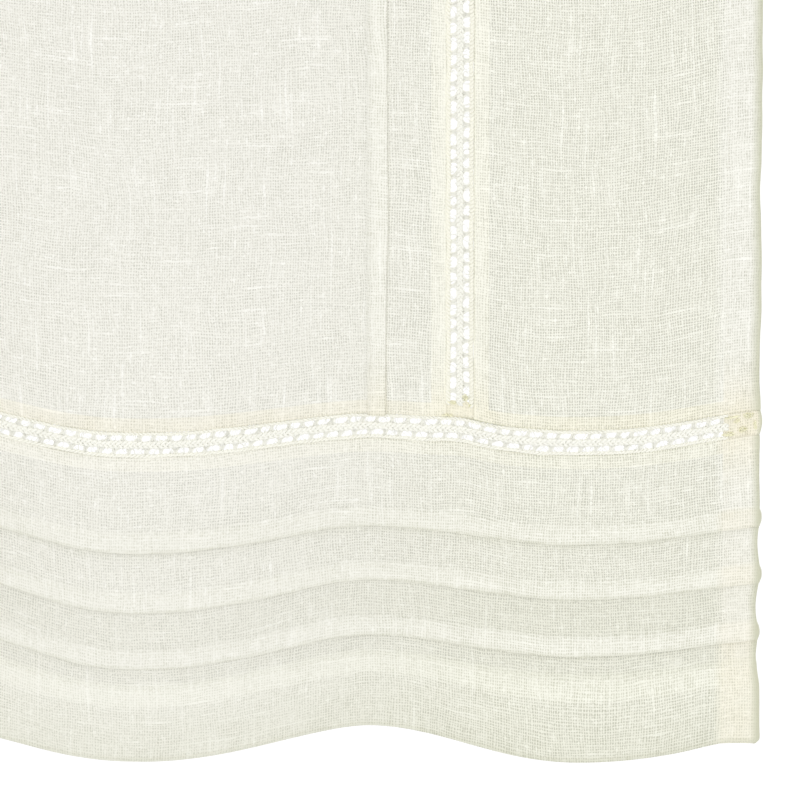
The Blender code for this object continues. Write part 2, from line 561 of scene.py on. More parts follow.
@dataclass(frozen=True)
class Tones:
    """How the look of the linen changes over the curtain, as shares from 0 to 1 and as lengths."""

    layered: float = 0.27
    outer_layered: float = 0.18
    upright_tuck: float = 0.36
    # Painted light on the single layer just past each upright tuck's folded edge, where the tuck shades
    # it.
    painted_light_beside_tuck: float = 0.75
    past_tuck: float = 1.0 * MM
    seams: float = 0.58
    # Painted light by the cut edges at the upright insertions, where the turned edges are shaded;
    # edge_open makes the weave there less open, which lightens it too.
    painted_light_at_edge: float = 0.72
    edge_reach: float = 1.4 * MM
    seam_above: float = 0.16
    seam_below: float = 0.50
    side_hem: float = 0.22
    side_hem_below: float = 0.34
    side_open: float = 0.68
    edge_open: float = 0.55
    side_shaded: float = 0.45
    lip: float = 0.46
    hem: float = 0.12
    past_seam: float = 1 * MM
    seam_warmth: float = 0.10
    cross_warmth: float = 0.65
    above_cross: float = 0.75
    below_cross: float = 0.25
    cross_reach: float = 14 * MM
    corner_warmth: float = 0.44
    corner_from: float = 520 * MM
    corner_over: float = 50 * MM
    warmth_on_tucks: float = 0.80
    warmth_between: float = 0.30
    patch_warmth: float = 0.74
    patch_light: float = 0.35
    outer_yellow: float = 0.85
    layered_yellow: float = 0.6
    hem_yellow: float = 0.24
    side_yellow: float = 0.25
    outer_from: float = 150 * MM
    outer_over: float = 90 * MM
    inner_open: float = 0.60
    outer_open: float = 1.08
    inner_dim: float = 0.06
    tuck_shadow: float = 1.6 * MM
    tuck_shade: float = 0.185
    fold_line: float = 0.38 * MM
    fold_shade: float = 0.30
    deep_dim: float = 0.09
    deep_from: float = 556 * MM
    deep_over: float = 6 * MM
    outer_deep: float = 0.6
    hem_shade: float = 0.18
    dim: float = 0.06
    dim_from: float = 512 * MM
    dim_over: float = 30 * MM
    rim: float = 0.50 * MM
    rim_shade: float = 0.92
    side_fade: float = 0.6
    foot_rim: float = 1.2 * MM
    foot_shade: float = 0.45
    seam_line: float = 0.4 * MM
    seam_line_shade: float = 0.22
    line_waves: Waves = Waves(70 * MM, 17)
    dark_from: float = 212 * MM
    dark_to: float = 222 * MM
    dark_soft: float = 3 * MM
    dark_shade: float = 0.75


class Zones:
    """The parts of the curtain in which a cloth's points lie, and how the linen looks in each.

    Each part is held as a share from 0 to 1 for each point.
    """

    def __init__(self, sizes: CurtainSizes, x: Points, z: Points, layers: Points, on_tuck: Points) -> None:
        """Works out the parts.

        Args:
            sizes: the curtain's sizes.
            x: places across the curtain.
            z: heights.
            layers: how many layers lie over each other there.
            on_tuck: whether the point is on a cross tuck.
        """
        self.sizes, self.tones = sizes, Tones()
        self.aside, self.z, self.on_tuck = np.abs(x), z, on_tuck
        self.more = np.clip(layers - 1, 0, 1)
        self.on_panel = z > sizes.cross
        self.outer = ease(np.clip((self.aside - self.tones.outer_from) / self.tones.outer_over, 0, 1))
        self._find_hems()
        self._find_seams()

    def _find_hems(self) -> None:
        """Works out where the side hems, the bottom hem and its lip are."""
        sizes, soft = self.sizes, self.tones.past_seam
        hem_top = sizes.bottom_hem - sizes.drop
        self.in_side_hem = within(self.aside, sizes.right - sizes.side_hem, FAR, soft)
        self.in_hem = within(self.z, -FAR, hem_top, soft)
        self.in_lip = self.in_hem * (self.z > hem_top - sizes.hem_lip)

    def _find_seams(self) -> None:
        """Works out where the seams on the insertions and the upright tucks are."""
        sizes, tones, aside = self.sizes, self.tones, self.aside
        soft, reach, past = tones.past_seam, tones.edge_reach, tones.past_tuck
        seam = sizes.seam_turning + soft
        folded = sizes.right - sizes.tuck_from_side
        stitched = folded - sizes.tuck
        by_upright = within(aside, sizes.centre_edge - seam, sizes.side_edge + seam, soft)
        by_edge = within(aside, sizes.centre_edge - reach, sizes.side_edge + reach, reach)
        self.by_cross = within(self.z, sizes.band_top - seam, sizes.panel_foot + seam, soft)
        self.by_upright = by_upright * self.on_panel
        self.by_edge = by_edge * self.on_panel
        self.by_tuck = within(aside, stitched, folded, soft) * self.on_panel
        # Where painted light lightens the shade beside the upright tucks.
        self.painted_light_beside_tuck = within(aside, stitched - past, folded + past, past / 2) * self.on_panel

    def brightness(self) -> Points:
        """How light the cloth is: lighter where it lies in layers, with painted light beside the upright
        tucks and by the upright insertions' cut edges.

        Returns:
            One share for each point.
        """
        sizes, tones = self.sizes, self.tones
        light = tones.layered + tones.outer_layered * self.outer
        light = np.maximum(light, tones.upright_tuck * self.by_tuck)
        at_seam = np.where(self.on_panel, tones.seam_above, tones.seam_below)
        light = np.maximum(light, self.by_cross * at_seam)
        light = np.maximum(light, tones.seams * self.by_upright)
        # Painted light by the upright insertion's cut edges.
        light = np.maximum(light, tones.painted_light_at_edge * self.by_edge)
        light = light * self.more * (1 - self.in_hem)
        light = light + self.in_hem * tones.hem + self.in_lip * (tones.lip - tones.hem)
        # Painted light that lightens the shade beside each upright tuck.
        light = np.maximum(light, tones.painted_light_beside_tuck * self.painted_light_beside_tuck * (1 - self.more))
        from_hem = np.clip((self.aside - sizes.right + sizes.side_hem) / sizes.side_hem, 0, 1)
        side_hem = tones.side_hem * (1 + tones.side_fade * (0.5 - from_hem))
        side_hem = np.where(self.on_panel, side_hem, tones.side_hem_below)
        return np.where(self.in_side_hem > 0.5, side_hem, light)

    def warmth(self) -> Points:
        """How far the cloth has turned peach.

        Returns:
            One share for each point.
        """
        sizes, tones, z = self.sizes, self.tones, self.z
        near_cross = np.exp(-(((z - sizes.cross) / tones.cross_reach) ** 2)) * self.more
        part = np.where(self.on_panel, tones.above_cross, tones.below_cross)
        warmth = tones.seam_warmth * self.more * self.by_upright
        warmth += tones.cross_warmth * near_cross * (part + (1 - part) * self.in_side_hem)
        corner = ease(np.clip((-z - tones.corner_from) / tones.corner_over, 0, 1))
        by_tucks = np.where(self.on_tuck, tones.warmth_on_tucks, tones.warmth_between * corner)
        corner = np.where(z > min(sizes.cross_tuck_edges()), by_tucks, corner)
        return warmth + tones.corner_warmth * corner * self.in_side_hem

    def yellow(self) -> Points:
        """How far the cloth has yellowed.

        Returns:
            One share for each point.
        """
        tones, side = self.tones, self.in_side_hem
        yellow = tones.outer_yellow * self.outer * (1 - side) + tones.side_yellow * side
        yellow = yellow * np.where(self.on_tuck, tones.layered_yellow, 1)
        return yellow + tones.hem_yellow * self.in_hem

    def openness(self) -> Points:
        """How wide the gaps of the weave are.

        Returns:
            One share for each point.
        """
        tones = self.tones
        openness = tones.inner_open + (tones.outer_open - tones.inner_open) * self.outer
        openness = openness * (1 - (1 - tones.side_open) * self.in_side_hem)
        # Fewer dark gaps by the upright insertion's cut edges, which lightens the shade there.
        return openness * (1 - (1 - tones.edge_open) * self.by_edge)

    def shade(self, tucked: bool) -> Points:
        """How shaded the cloth is.

        Args:
            tucked: whether the cloth has the cross tucks.

        Returns:
            One share for each point.
        """
        sizes, tones, z = self.sizes, self.tones, self.z
        hem, hem_top = sizes.bottom_hem - sizes.hem_lip, sizes.bottom_hem - sizes.drop
        shade = tones.dim * np.clip((-z - tones.dim_from) / tones.dim_over, 0, 1)
        shade += tones.inner_dim * (1 - self.outer)
        deep = np.clip((-z - tones.deep_from) / tones.deep_over, 0, 1) * (z > hem_top)
        shade += tones.deep_dim * (1 + tones.outer_deep * self.outer) * deep * (1 - self.on_tuck)
        below_lip = self.in_hem * (1 - self.in_lip)
        shade += below_lip * tones.hem_shade * np.clip((hem - sizes.drop - z) / hem, 0, 1)
        if tucked:
            shade = self._under_tucks(shade)
        in_side_hem = self.aside > sizes.right - sizes.side_hem
        shade = shade * np.where(in_side_hem, tones.side_shaded, 1)
        shade = np.maximum(shade, self._seam_line() * ~in_side_hem)
        rim = within(self.aside, sizes.right - tones.rim, FAR, tones.rim)
        foot = within(z, -FAR, tones.foot_rim - sizes.drop, tones.foot_rim)
        return np.maximum(shade, np.maximum(tones.rim_shade * rim, tones.foot_shade * foot))

    def _under_tucks(self, shade: Points) -> Points:
        """The shade with the shadow under each cross tuck and the line of its folded edge.

        Args:
            shade: the shade without them.

        Returns:
            One share for each point.
        """
        sizes, tones, on_tuck = self.sizes, self.tones, self.on_tuck
        for edge in sizes.cross_tuck_edges():
            under = within(self.z, edge - tones.tuck_shadow, edge + sizes.tuck, tones.tuck_shadow)
            shade = np.maximum(shade, tones.tuck_shade * under * (1 - on_tuck))
            lip = within(self.z, edge - sizes.layer, edge + tones.fold_line, tones.fold_line)
            shade = np.maximum(shade, tones.fold_shade * lip * on_tuck)
        return shade

    def _seam_line(self) -> Points:
        """The shade of the lines along the cross insertion.

        Returns:
            One share for each point.
        """
        sizes, tones, z = self.sizes, self.tones, self.z
        line = np.minimum(np.abs(z - sizes.panel_foot), np.abs(z - sizes.band_top)) < tones.seam_line
        uneven = np.clip(0.5 + tones.line_waves.at(self.aside), 0, 1)
        dark = within(self.aside, tones.dark_from, tones.dark_to, tones.dark_soft) * self.on_panel
        return line * np.maximum(tones.seam_line_shade * uneven, tones.dark_shade * dark)


@dataclass
class Cloth:
    """One cut piece of linen as it hangs, with its hems, turnings and tucks."""

    name: str
    nodes: list[str]
    across: Walk
    down: Walk
    hang: Hang
    fullness: float = 1.05
    edge_sway: float = 0.22 * MM
    edge_waves: Waves = Waves(45 * MM, 5)
    edge_lift: float = 0.30 * MM
    lift_waves: Waves = Waves(70 * MM, 3)
    upright_sway: float = 0.75 * MM
    upright_waves: Waves = Waves(260 * MM, 7)
    roundness: float = 0.6

    @property
    def sizes(self) -> CurtainSizes:
        """The curtain's sizes."""
        return self.hang.sizes

    def build(self, material: bpy.types.Material) -> bpy.types.Object:
        """Makes the cloth as one sheet on a grid, and gives it its thickness.

        Args:
            material: the linen's finish.

        Returns:
            The piece.
        """
        columns, rows = len(self.across.stations) - 1, len(self.down.stations) - 1
        mesh = grid_mesh(self.name, columns, rows)
        grid = read_points(mesh)
        column = np.rint((grid[:, 0] + 0.5) * columns).astype(int)
        row = np.rint((grid[:, 1] + 0.5) * rows).astype(int)
        write_points(mesh, self._hung(column, row))
        self._map(mesh, column, row)
        self._mark(mesh, column, row)
        cloth = finished(self.name, mesh, material, self.nodes)
        thickness = cloth.modifiers.new("thickness", "SOLIDIFY")
        thickness.thickness = self.sizes.cloth
        thickness.offset = 0
        return cloth

    def _hung(self, column: Points, row: Points) -> Points:
        """The places in space of the grid's points.

        Args:
            column: the number of the column in which each point lies.
            row: the number of its row.

        Returns:
            A row of three coordinates for each point.
        """
        x, z = self.across.column("at")[column], self.down.column("at")[row]
        free = np.maximum(self.across.column("free")[column], self.down.column("free")[row])
        tucked = self.across.column("out")[column] + self.down.column("out")[row]
        tucked = tucked + free * self.edge_lift * (1 + self.lift_waves.at(x + z)) / 2
        room, angle = self.down.column("room")[row], self.down.column("angle")[row]
        radius = room + tucked
        out = radius * np.cos(angle) - room
        height = z + self.down.column("side")[row] * radius * np.sin(angle)
        height -= self.down.column("free")[row] * self.edge_sway * self.edge_waves.at(x)
        room = self.across.column("room")[column] + self.down.behind(z) / 2
        angle = self.across.column("angle")[column]
        aside = room + np.where(tucked > 0, out * self._rounded(z), out)
        place = x + self.across.column("side")[column] * aside * np.sin(angle)
        out = (room + out) * np.cos(angle) - room
        place += self.across.column("free")[column] * self.upright_sway * self.upright_waves.at(z)
        return self.hang.place(place, height, out)

    def _rounded(self, z: Points) -> Points:
        """How far each height is from the folded edge and the stitches of its cross tuck, from 0 to 1.

        Args:
            z: heights.

        Returns:
            One share for each height.
        """
        rounded = np.zeros_like(z)
        for edge in self.sizes.cross_tuck_edges():
            share = np.clip((z - edge) / self.sizes.tuck, 0, 1)
            rounded = np.maximum(rounded, np.sin(np.pi * share) ** self.roundness)
        return rounded

    def _map(self, mesh: bpy.types.Mesh, column: Points, row: Points) -> None:
        """Gives the mesh a map of the cut cloth, in metres, which its weave follows.

        Args:
            mesh: the cloth's mesh.
            column: the number of the column in which each point lies.
            row: the number of its row.
        """
        flat = np.stack([self.across.flat()[column] * self.fullness, self.down.flat()[row]], axis=1)
        corner = np.empty(len(mesh.loops), int)
        mesh.loops.foreach_get("vertex_index", corner)
        layer = mesh.uv_layers.new(name=CLOTH_MAP)
        layer.uv.foreach_set("vector", flat[corner].astype(np.float32).ravel())

    def _mark(self, mesh: bpy.types.Mesh, column: Points, row: Points) -> None:
        """Marks the mesh with the tones of its cloth, which its finish reads.

        Args:
            mesh: the cloth's mesh.
            column: the number of the column in which each point lies.
            row: the number of its row.
        """
        layers = self.across.passes(self.across.column("at"))[column]
        layers = layers * self.down.passes(self.down.column("at"))[row]
        x, z = self.across.column("at")[column], self.down.column("at")[row]
        folded = self.down.column("angle")[row] + self.across.column("angle")[column]
        on_tuck = (self.down.column("out")[row] > self.sizes.layer / 2) & (folded == 0)
        for layer, values in self._tones(x, z, layers, on_tuck).items():
            mark(mesh, layer, values)

    def _tones(self, x: Points, z: Points, layers: Points, on_tuck: Points) -> dict[Layer, Points]:
        """How light, warm, shaded and open the cloth is at each point.

        Args:
            x: places across the curtain.
            z: heights.
            layers: how many layers lie over each other there.
            on_tuck: whether the point is on a cross tuck.

        Returns:
            The values of each mark.
        """
        zones = Zones(self.sizes, x, z, layers, on_tuck)
        return {
            Layer.LAYERS: layers,
            Layer.BRIGHTNESS: zones.brightness(),
            Layer.WARMTH: zones.warmth(),
            Layer.YELLOW: zones.yellow(),
            Layer.SHADE: zones.shade(self.name == BAND_NAME),
            Layer.OPENNESS: zones.openness(),
        }

    def flat_size(self) -> tuple[float, float]:
        """The width and length to which the cloth was cut."""
        return self.across.flat()[-1] * self.fullness, self.down.flat()[-1]


@dataclass
class Patch(Cloth):
    """A small piece of linen that closes the end of an insertion, warm and dense.

    bulge is how far its outer folded edge is pushed out, to the right where it is over 0.
    """

    bulge: float = 0.0
    patch_layers: int = 1

    def _tones(self, x: Points, z: Points, layers: Points, on_tuck: Points) -> dict[Layer, Points]:
        """How light, warm, shaded and open the patch is at each point.

        Args:
            x: places across the curtain.
            z: heights.
            layers: how many layers lie over each other there.
            on_tuck: whether the point is on a cross tuck.

        Returns:
            The values of each mark.
        """
        marks = super()._tones(x, z, layers + self.patch_layers, on_tuck)
        marks[Layer.WARMTH] = np.maximum(marks[Layer.WARMTH], Tones().patch_warmth)
        marks[Layer.BRIGHTNESS] = np.minimum(marks[Layer.BRIGHTNESS], Tones().patch_light)
        return marks

    def _hung(self, column: Points, row: Points) -> Points:
        """The places in space of the grid's points, with the folded edge pushed out a little.

        Args:
            column: the number of the column in which each point lies.
            row: the number of its row.

        Returns:
            A row of three coordinates for each point.
        """
        places = super()._hung(column, row)
        x, z = self.across.column("at")[column], self.down.column("at")[row]
        share_across = np.clip((np.abs(x) - np.abs(x).min()) / np.ptp(x), 0, 1) ** 3
        share_down = (z - z.min()) / np.ptp(z)
        places[:, 0] += self.bulge * share_across * np.sin(np.pi * share_down)
        return places


@dataclass
class Tailor:
    """Lays out the four cloths, with the turnings, hems and tucks of each."""

    hang: Hang
    panel_column: float = 3.0 * MM
    panel_row: float = 4.0 * MM
    band_column: float = 2.3 * MM
    band_row: float = 1.6 * MM
    tuck_lean: float = 1.5 * MM
    upright_lean: float = 0.3 * MM
    patch_step: float = 1.0 * MM
    foot_patch: float = 5.2 * MM
    patch_gap: float = 0.06 * MM
    patch_bulge: float = 0.7 * MM
    under_patch: float = 1 * MM
    into_hems: float = 3 * MM
    stop: float = 0.2 * MM
    corner_rows: tuple[float, ...] = (0.25 * MM, 0.55 * MM, 0.90 * MM, 1.35 * MM, 1.90 * MM)

    @property
    def sizes(self) -> CurtainSizes:
        """The curtain's sizes."""
        return self.hang.sizes

    def cloths(self) -> list[Cloth]:
        """All the cut cloths of the curtain."""
        return [self.centre(), self.side(1), self.side(-1), self.band()]

    def patches(self) -> list[Patch]:
        """The small cloths over the ends of the insertions."""
        sides = ((1, "right"), (-1, "left"))
        return [patch(side, word) for side, word in sides for patch in (self._foot_patch, self._hem_patch)]

    def _foot_patch(self, side: int, word: str) -> Patch:
        """The cloth over the foot of an upright insertion.

        Args:
            side: 1 on the right, -1 on the left.
            word: the side in the patch's name.

        Returns:
            The patch.
        """
        sizes = self.sizes
        half = (sizes.insertion + sizes.seam_gap) / 2 - self.patch_gap
        across = Walk(self.patch_step)
        across.start(Station(side * sizes.upright - half)).run(side * sizes.upright + half)
        down = Walk(self.patch_step)
        down.start(Station(sizes.panel_foot)).run(sizes.panel_foot + self.foot_patch)
        down.fold(1, sizes.layer / 2).run(sizes.panel_foot)
        return Patch(f"{word}_foot_patch", [], across, down, self.hang)

    def _hem_patch(self, side: int, word: str) -> Patch:
        """The cloth of the side hem over the end of the cross insertion, in front and behind.

        Args:
            side: 1 on the right, -1 on the left.
            word: the side in the patch's name.

        Returns:
            The patch.
        """
        sizes = self.sizes
        half = (sizes.insertion + sizes.seam_gap) / 2 - self.patch_gap
        room = sizes.layer / 2
        inner, edge = side * (sizes.right - sizes.side_hem), side * (sizes.right - room)
        across = Walk(self.patch_step)
        across.start(Station(inner, 0.0, math.pi, side, room)).run(edge)
        across.fold(side, room).run(inner)
        down = Walk(self.patch_step)
        down.start(Station(sizes.cross - half)).run(sizes.cross + half)
        return Patch(f"{word}_hem_patch", [], across, down, self.hang, bulge=side * self.patch_bulge)

    def _edge(self, walk: Walk, side: int, edge: float, turning: float, begin: bool) -> None:
        """Adds an edge that is turned to the back, at the beginning or the end of a walk.

        Args:
            walk: the walk to add it to.
            side: 1 for an edge up or to the right, -1 for one down or to the left.
            edge: the place of the edge.
            turning: how far the cloth goes on behind.
            begin: True at the beginning of the walk.
        """
        room = self.sizes.layer / 2
        inner, end = edge - side * room, edge - side * turning
        stops = [inner - side * 2 * self.stop, end + side * self.stop, end - side * self.stop]
        if begin:
            walk.start(Station(end, angle=math.pi, side=side, room=room)).run(inner)
            walk.fold(side, room).run_past(stops)
        else:
            walk.run_past(stops[::-1]).run(inner).fold(side, room).run(end)

    def _tuck(self, walk: Walk, stitched: float, folded: float, outward: bool, lean: float) -> None:
        """Adds a tuck, as three layers with a loose folded edge.

        Args:
            walk: the walk to add it to.
            stitched: the place of the line of stitches.
            folded: the place of the folded edge.
            outward: True if the walk reaches the stitches first.
            lean: how far past the stitches the cloth rises on to the tuck.
        """
        layer, way = self.sizes.layer, math.copysign(1, folded - stitched)
        root = stitched - way * lean
        edge = folded - way * layer / 2
        stops = [folded - way * self.stop, folded + way * self.stop]
        if outward:
            walk.run(root).run(stitched, 2 * layer).run(edge, 2 * layer, free=1).loop(layer)
            walk.run(stitched, layer).loop(0).run_past(stops)
        else:
            walk.run_past(stops[::-1]).run(stitched).loop(layer).run(edge, layer, free=1).loop(2 * layer)
            walk.run(stitched, 2 * layer).run(root, 0)

    def _panel_rows(self) -> Walk:
        """The way up a panel, from its seam on the cross insertion to the top hem.

        Returns:
            The walk.
        """
        walk = Walk(self.panel_row)
        self._edge(walk, -1, self.sizes.panel_foot, self.sizes.seam_turning, begin=True)
        self._edge(walk, 1, 0.0, self.sizes.top_hem, begin=False)
        return walk

    def centre(self) -> Cloth:
        """The middle cloth, with an upright tuck near each side that folds outwards.

        Returns:
            The cloth.
        """
        sizes = self.sizes
        fold = sizes.right - sizes.tuck_from_side
        walk = Walk(self.panel_column)
        self._edge(walk, -1, -sizes.centre_edge, sizes.seam_turning, begin=True)
        self._tuck(walk, sizes.tuck - fold, -fold, False, self.upright_lean)
        self._tuck(walk, fold - sizes.tuck, fold, True, self.upright_lean)
        self._edge(walk, 1, sizes.centre_edge, sizes.seam_turning, begin=False)
        return Cloth(CENTRE_NAME, ["centre_panel"], walk, self._panel_rows(), self.hang)

    def side(self, side: int) -> Cloth:
        """The cloth between an upright insertion and a side edge.

        Args:
            side: 1 on the right, -1 on the left.

        Returns:
            The cloth.
        """
        sizes = self.sizes
        walk = Walk(self.panel_column)
        if side > 0:
            self._edge(walk, -1, sizes.side_edge, sizes.seam_turning, begin=True)
            self._edge(walk, 1, sizes.right, sizes.side_hem, begin=False)
            return Cloth("right_cloth", ["right_panel"], walk, self._panel_rows(), self.hang)
        self._edge(walk, -1, -sizes.right, sizes.side_hem, begin=True)
        self._edge(walk, 1, -sizes.side_edge, sizes.seam_turning, begin=False)
        return Cloth("left_cloth", ["left_panel"], walk, self._panel_rows(), self.hang)

    def band(self) -> Cloth:
        """The cloth below the cross insertion, with its cross tucks and its deep bottom hem.

        Returns:
            The cloth.
        """
        sizes = self.sizes
        layer, foot = sizes.layer, -sizes.drop
        across = Walk(self.band_column)
        self._edge(across, -1, -sizes.right, sizes.side_hem, begin=True)
        self._edge(across, 1, sizes.right, sizes.side_hem, begin=False)
        down = Walk(self.band_row)
        top = foot + sizes.bottom_hem
        down.start(Station(top - sizes.hem_lip, -layer, math.pi, -1, layer))
        near = [foot + layer + place for place in self.corner_rows]
        down.run(top - layer / 2).loop(0.0).run_past(near[::-1]).run(foot + layer)
        down.fold(-1, layer).run_past(near)
        for edge in sizes.cross_tuck_edges():
            self._tuck(down, edge + sizes.tuck, edge, False, self.tuck_lean)
        self._edge(down, 1, sizes.band_top, sizes.seam_turning, begin=False)
        return Cloth(BAND_NAME, ["hem_band"], across, down, self.hang)


@dataclass
class Threads:
    """Threads laid out flat, each a tube with closed ends, which become one mesh.

    A flat place is a way along, a way across, and how far out it is towards the front.
    """

    paths: list[tuple[Points, float, int]] = field(default_factory=list)
    merge: float = 0.0005 * MM

    def add(self, path: Points, radius: float, sides: int = 4) -> None:
        """Adds a thread.

        Args:
            path: its points, as rows of three.
            radius: its radius.
            sides: the number of its sides.
        """
        self.paths.append((path, radius, sides))

    def mesh(self, name: str) -> bpy.types.Mesh:
        """Makes one mesh of all the threads.

        Args:
            name: the mesh's name.

        Returns:
            The mesh, laid out flat.
        """
        mesh = bpy.data.meshes.new(name)
        bm = bmesh.new()
        sheets: dict[tuple[int, int], bpy.types.Mesh] = {}
        for path, _, sides in self.paths:
            shape = (sides, len(path) - 1)
            if shape not in sheets:
                sheets[shape] = grid_mesh("sheet", *shape)
            bm.from_mesh(sheets[shape])
        bm.to_mesh(mesh)
        bm.clear()
        self._roll(mesh)
        bm.from_mesh(mesh)
        bmesh.ops.remove_doubles(bm, verts=bm.verts[:], dist=self.merge)
        bmesh.ops.holes_fill(bm, edges=[edge for edge in bm.edges if edge.is_boundary], sides=0)
        bmesh.ops.recalc_face_normals(bm, faces=bm.faces[:])
        bm.to_mesh(mesh)
        bm.free()
        for sheet in sheets.values():
            bpy.data.meshes.remove(sheet)
        return mesh

    def _roll(self, mesh: bpy.types.Mesh) -> None:
        """Rolls the sheets up round their threads' paths.

        Args:
            mesh: the mesh of all the sheets.
        """
        places = read_points(mesh)
        first = 0
        for path, radius, sides in self.paths:
            last = first + len(path) * (sides + 1)
            ring = np.rint((places[first:last, 1] + 0.5) * (len(path) - 1)).astype(int)
            angle = 2 * np.pi * (places[first:last, 0] + 0.5)
            along = np.gradient(path, axis=0)
            along /= np.linalg.norm(along, axis=1)[:, None]
            across = np.cross(along, (0.0, 0.0, 1.0))
            across /= np.linalg.norm(across, axis=1)[:, None]
            up = np.cross(across, along)
            spoke = np.cos(angle)[:, None] * across[ring] + np.sin(angle)[:, None] * up[ring]
            places[first:last] = path[ring] + radius * spoke
            first = last
        write_points(mesh, places)

    def lay(self, name: str, hang: Hang, material: bpy.types.Material) -> bpy.types.Object:
        """Makes a piece of threads that lie on the cloth, their flat places being across, up and out.

        Args:
            name: the piece's name.
            hang: how the cloth hangs.
            material: the threads' finish.

        Returns:
            The piece.
        """
        mesh = self.mesh(name)
        x, z, out = read_points(mesh).T
        write_points(mesh, hang.place(x, z, out))
        return finished(name, mesh, material, [])


@dataclass
class Openwork:
    """An openwork insertion: a braid between two cords, with forked threads as bars.

    Its threads are laid out flat first. Along is the way of the strip, across the way over it,
    and out is towards the front.
    """

    name: str
    node: str
    hang: Hang
    length: float
    lean: float
    seed: int
    cord_at: float
    cord_radius: float
    braid_width: float
    braid_radius: float
    pitch: float = 4.5 * MM
    strand_sides: int = 5
    cord_twist: float = 2.6 * MM
    cord_rings: int = 6
    cord_apart: float = 0.75
    cord_uneven: float = 0.25
    cord_waves: Waves = Waves(17 * MM, 30)
    strands: int = 3
    braid_length: float = 4.5 * MM
    braid_rings: int = 9
    braid_depth: float = 0.55
    braid_uneven: float = 0.3
    braid_waves: Waves = Waves(12 * MM, 31)
    bar_radius: float = 0.21 * MM
    bar_fork: float = 1.40 * MM
    bar_flare: float = 0.85 * MM
    bar_starts: tuple[float, float] = (0.25, 0.75)
    bar_ways: tuple[float, ...] = (-1, -0.5, 0, 0.5, 1)
    bar_points: int = 7
    bar_apart: float = 0.75
    bar_twist: float = 0.5
    bar_sunk: float = 0.4
    bar_sides: int = 4
    fine_sides: int = 3
    radius_range: tuple[float, float] = (0.85, 1.2)
    fork_range: tuple[float, float] = (0.75, 1.2)
    flare_range: tuple[float, float] = (0.7, 1.25)
    fuzz: int = 5
    fuzz_radius: float = 0.075 * MM
    fuzz_points: int = 4
    fuzz_bend: float = 0.3
    fuzz_seed: int = 40
    uneven: float = 0.45 * MM
    slant: float = 0.55 * MM
    shift: float = 0.11 * MM
    shift_waves: Waves = Waves(23 * MM, 20)
    widened: float = 0.05
    width_waves: Waves = Waves(31 * MM, 21)
    edge_warmth: float = 1.0

    def _waved(self, waves: Waves, along: Points) -> Points:
        """This strip's own unevenness of one kind, at places along it."""
        return waves._replace(seed=waves.seed + self.seed).at(along)

    def _over(self, side: int, share: Points) -> Points:
        """The way across the strip, at shares of the way from the braid to the cord of one side."""
        return side * (self.braid_width + (self.cord_at - self.braid_width) * share)

    def _cords(self, threads: Threads) -> None:
        """Adds the twisted cord along each edge.

        Args:
            threads: the strip's threads, to which they are added.
        """
        count = round(self.length / self.cord_twist * self.cord_rings)
        along = np.linspace(0, self.length, count + 1)
        radius = self.cord_radius * (1 + self.cord_uneven * self._waved(self.cord_waves, along))
        for side in (-1, 1):
            for start in (0, math.pi):
                turn = 2 * math.pi * along / self.cord_twist * side + start
                across = side * self.cord_at + self.cord_apart * radius * np.cos(turn)
                out = self.cord_apart * radius * np.sin(turn)
                threads.add(np.stack([along, across, out], axis=1), self.cord_radius, self.strand_sides)

    def _braid(self, threads: Threads) -> None:
        """Adds the plaited strands between the two rows of holes.

        Args:
            threads: the strip's threads, to which they are added.
        """
        count = round(self.length / self.braid_length * self.braid_rings)
        along = np.linspace(0, self.length, count + 1)
        width = self.braid_width * (1 + self.braid_uneven * self._waved(self.braid_waves, along))
        for strand in range(self.strands):
            turn = 2 * math.pi * (along / self.braid_length + strand / self.strands)
            out = self.braid_depth * self.braid_radius * np.sin(2 * turn)
            path = np.stack([along, width * np.sin(turn), out], axis=1)
            threads.add(path, self.braid_radius, self.strand_sides)

    def _bars(self, threads: Threads) -> None:
        """Adds the bunches of threads that part the holes, forked at the braid and the cord.

        Args:
            threads: the strip's threads, to which they are added.
        """
        rng = np.random.default_rng(self.seed)
        share = np.linspace(0, 1, self.bar_points)
        for side, start in zip((-1, 1), self.bar_starts):
            for middle in np.arange(self.pitch * start, self.length, self.pitch):
                middle += rng.uniform(-1, 1) * self.uneven
                fork = self.bar_fork * rng.uniform(*self.fork_range)
                flare = self.bar_flare * rng.uniform(*self.flare_range)
                lean = side * self.lean + rng.uniform(-1, 1) * self.slant
                radius = self.bar_radius * rng.uniform(*self.radius_range)
                bent = rng.uniform(-1, 1) * self.uneven
                for way in self.bar_ways:
                    apart = fork * (1 - share) ** 3 + self.bar_apart * radius + flare * share**3
                    along = middle + way * apart + lean * (share - 0.5) + bent * share * (1 - share)
                    out = self.bar_twist * way * np.sin(np.pi * share) - self.bar_sunk * (way == 0)
                    path = np.stack([along, self._over(side, share), radius * out], axis=1)
                    threads.add(path, radius, self.bar_sides if way % 1 == 0 else self.fine_sides)

    def _fuzz(self, threads: Threads) -> None:
        """Adds the stray fibres that cross the holes.

        Args:
            threads: the strip's threads, to which they are added.
        """
        rng = np.random.default_rng(self.seed + self.fuzz_seed)
        share = np.linspace(0, 1, self.fuzz_points)
        arch = np.sin(np.pi * share)
        for side in (-1, 1):
            for place in np.arange(0, self.length - self.pitch, self.pitch / self.fuzz):
                ends = place + rng.uniform(0, self.pitch, 2)
                bent = rng.uniform(-1, 1, 2) * self.pitch / 4
                along = ends[0] + (ends[1] - ends[0]) * share + bent[0] * arch
                across = self._over(side, share) + self.fuzz_bend * bent[1] * arch
                out = self.bar_radius * rng.uniform(-1, 1) * np.ones_like(share)
                threads.add(np.stack([along, across, out], axis=1), self.fuzz_radius, self.fine_sides)

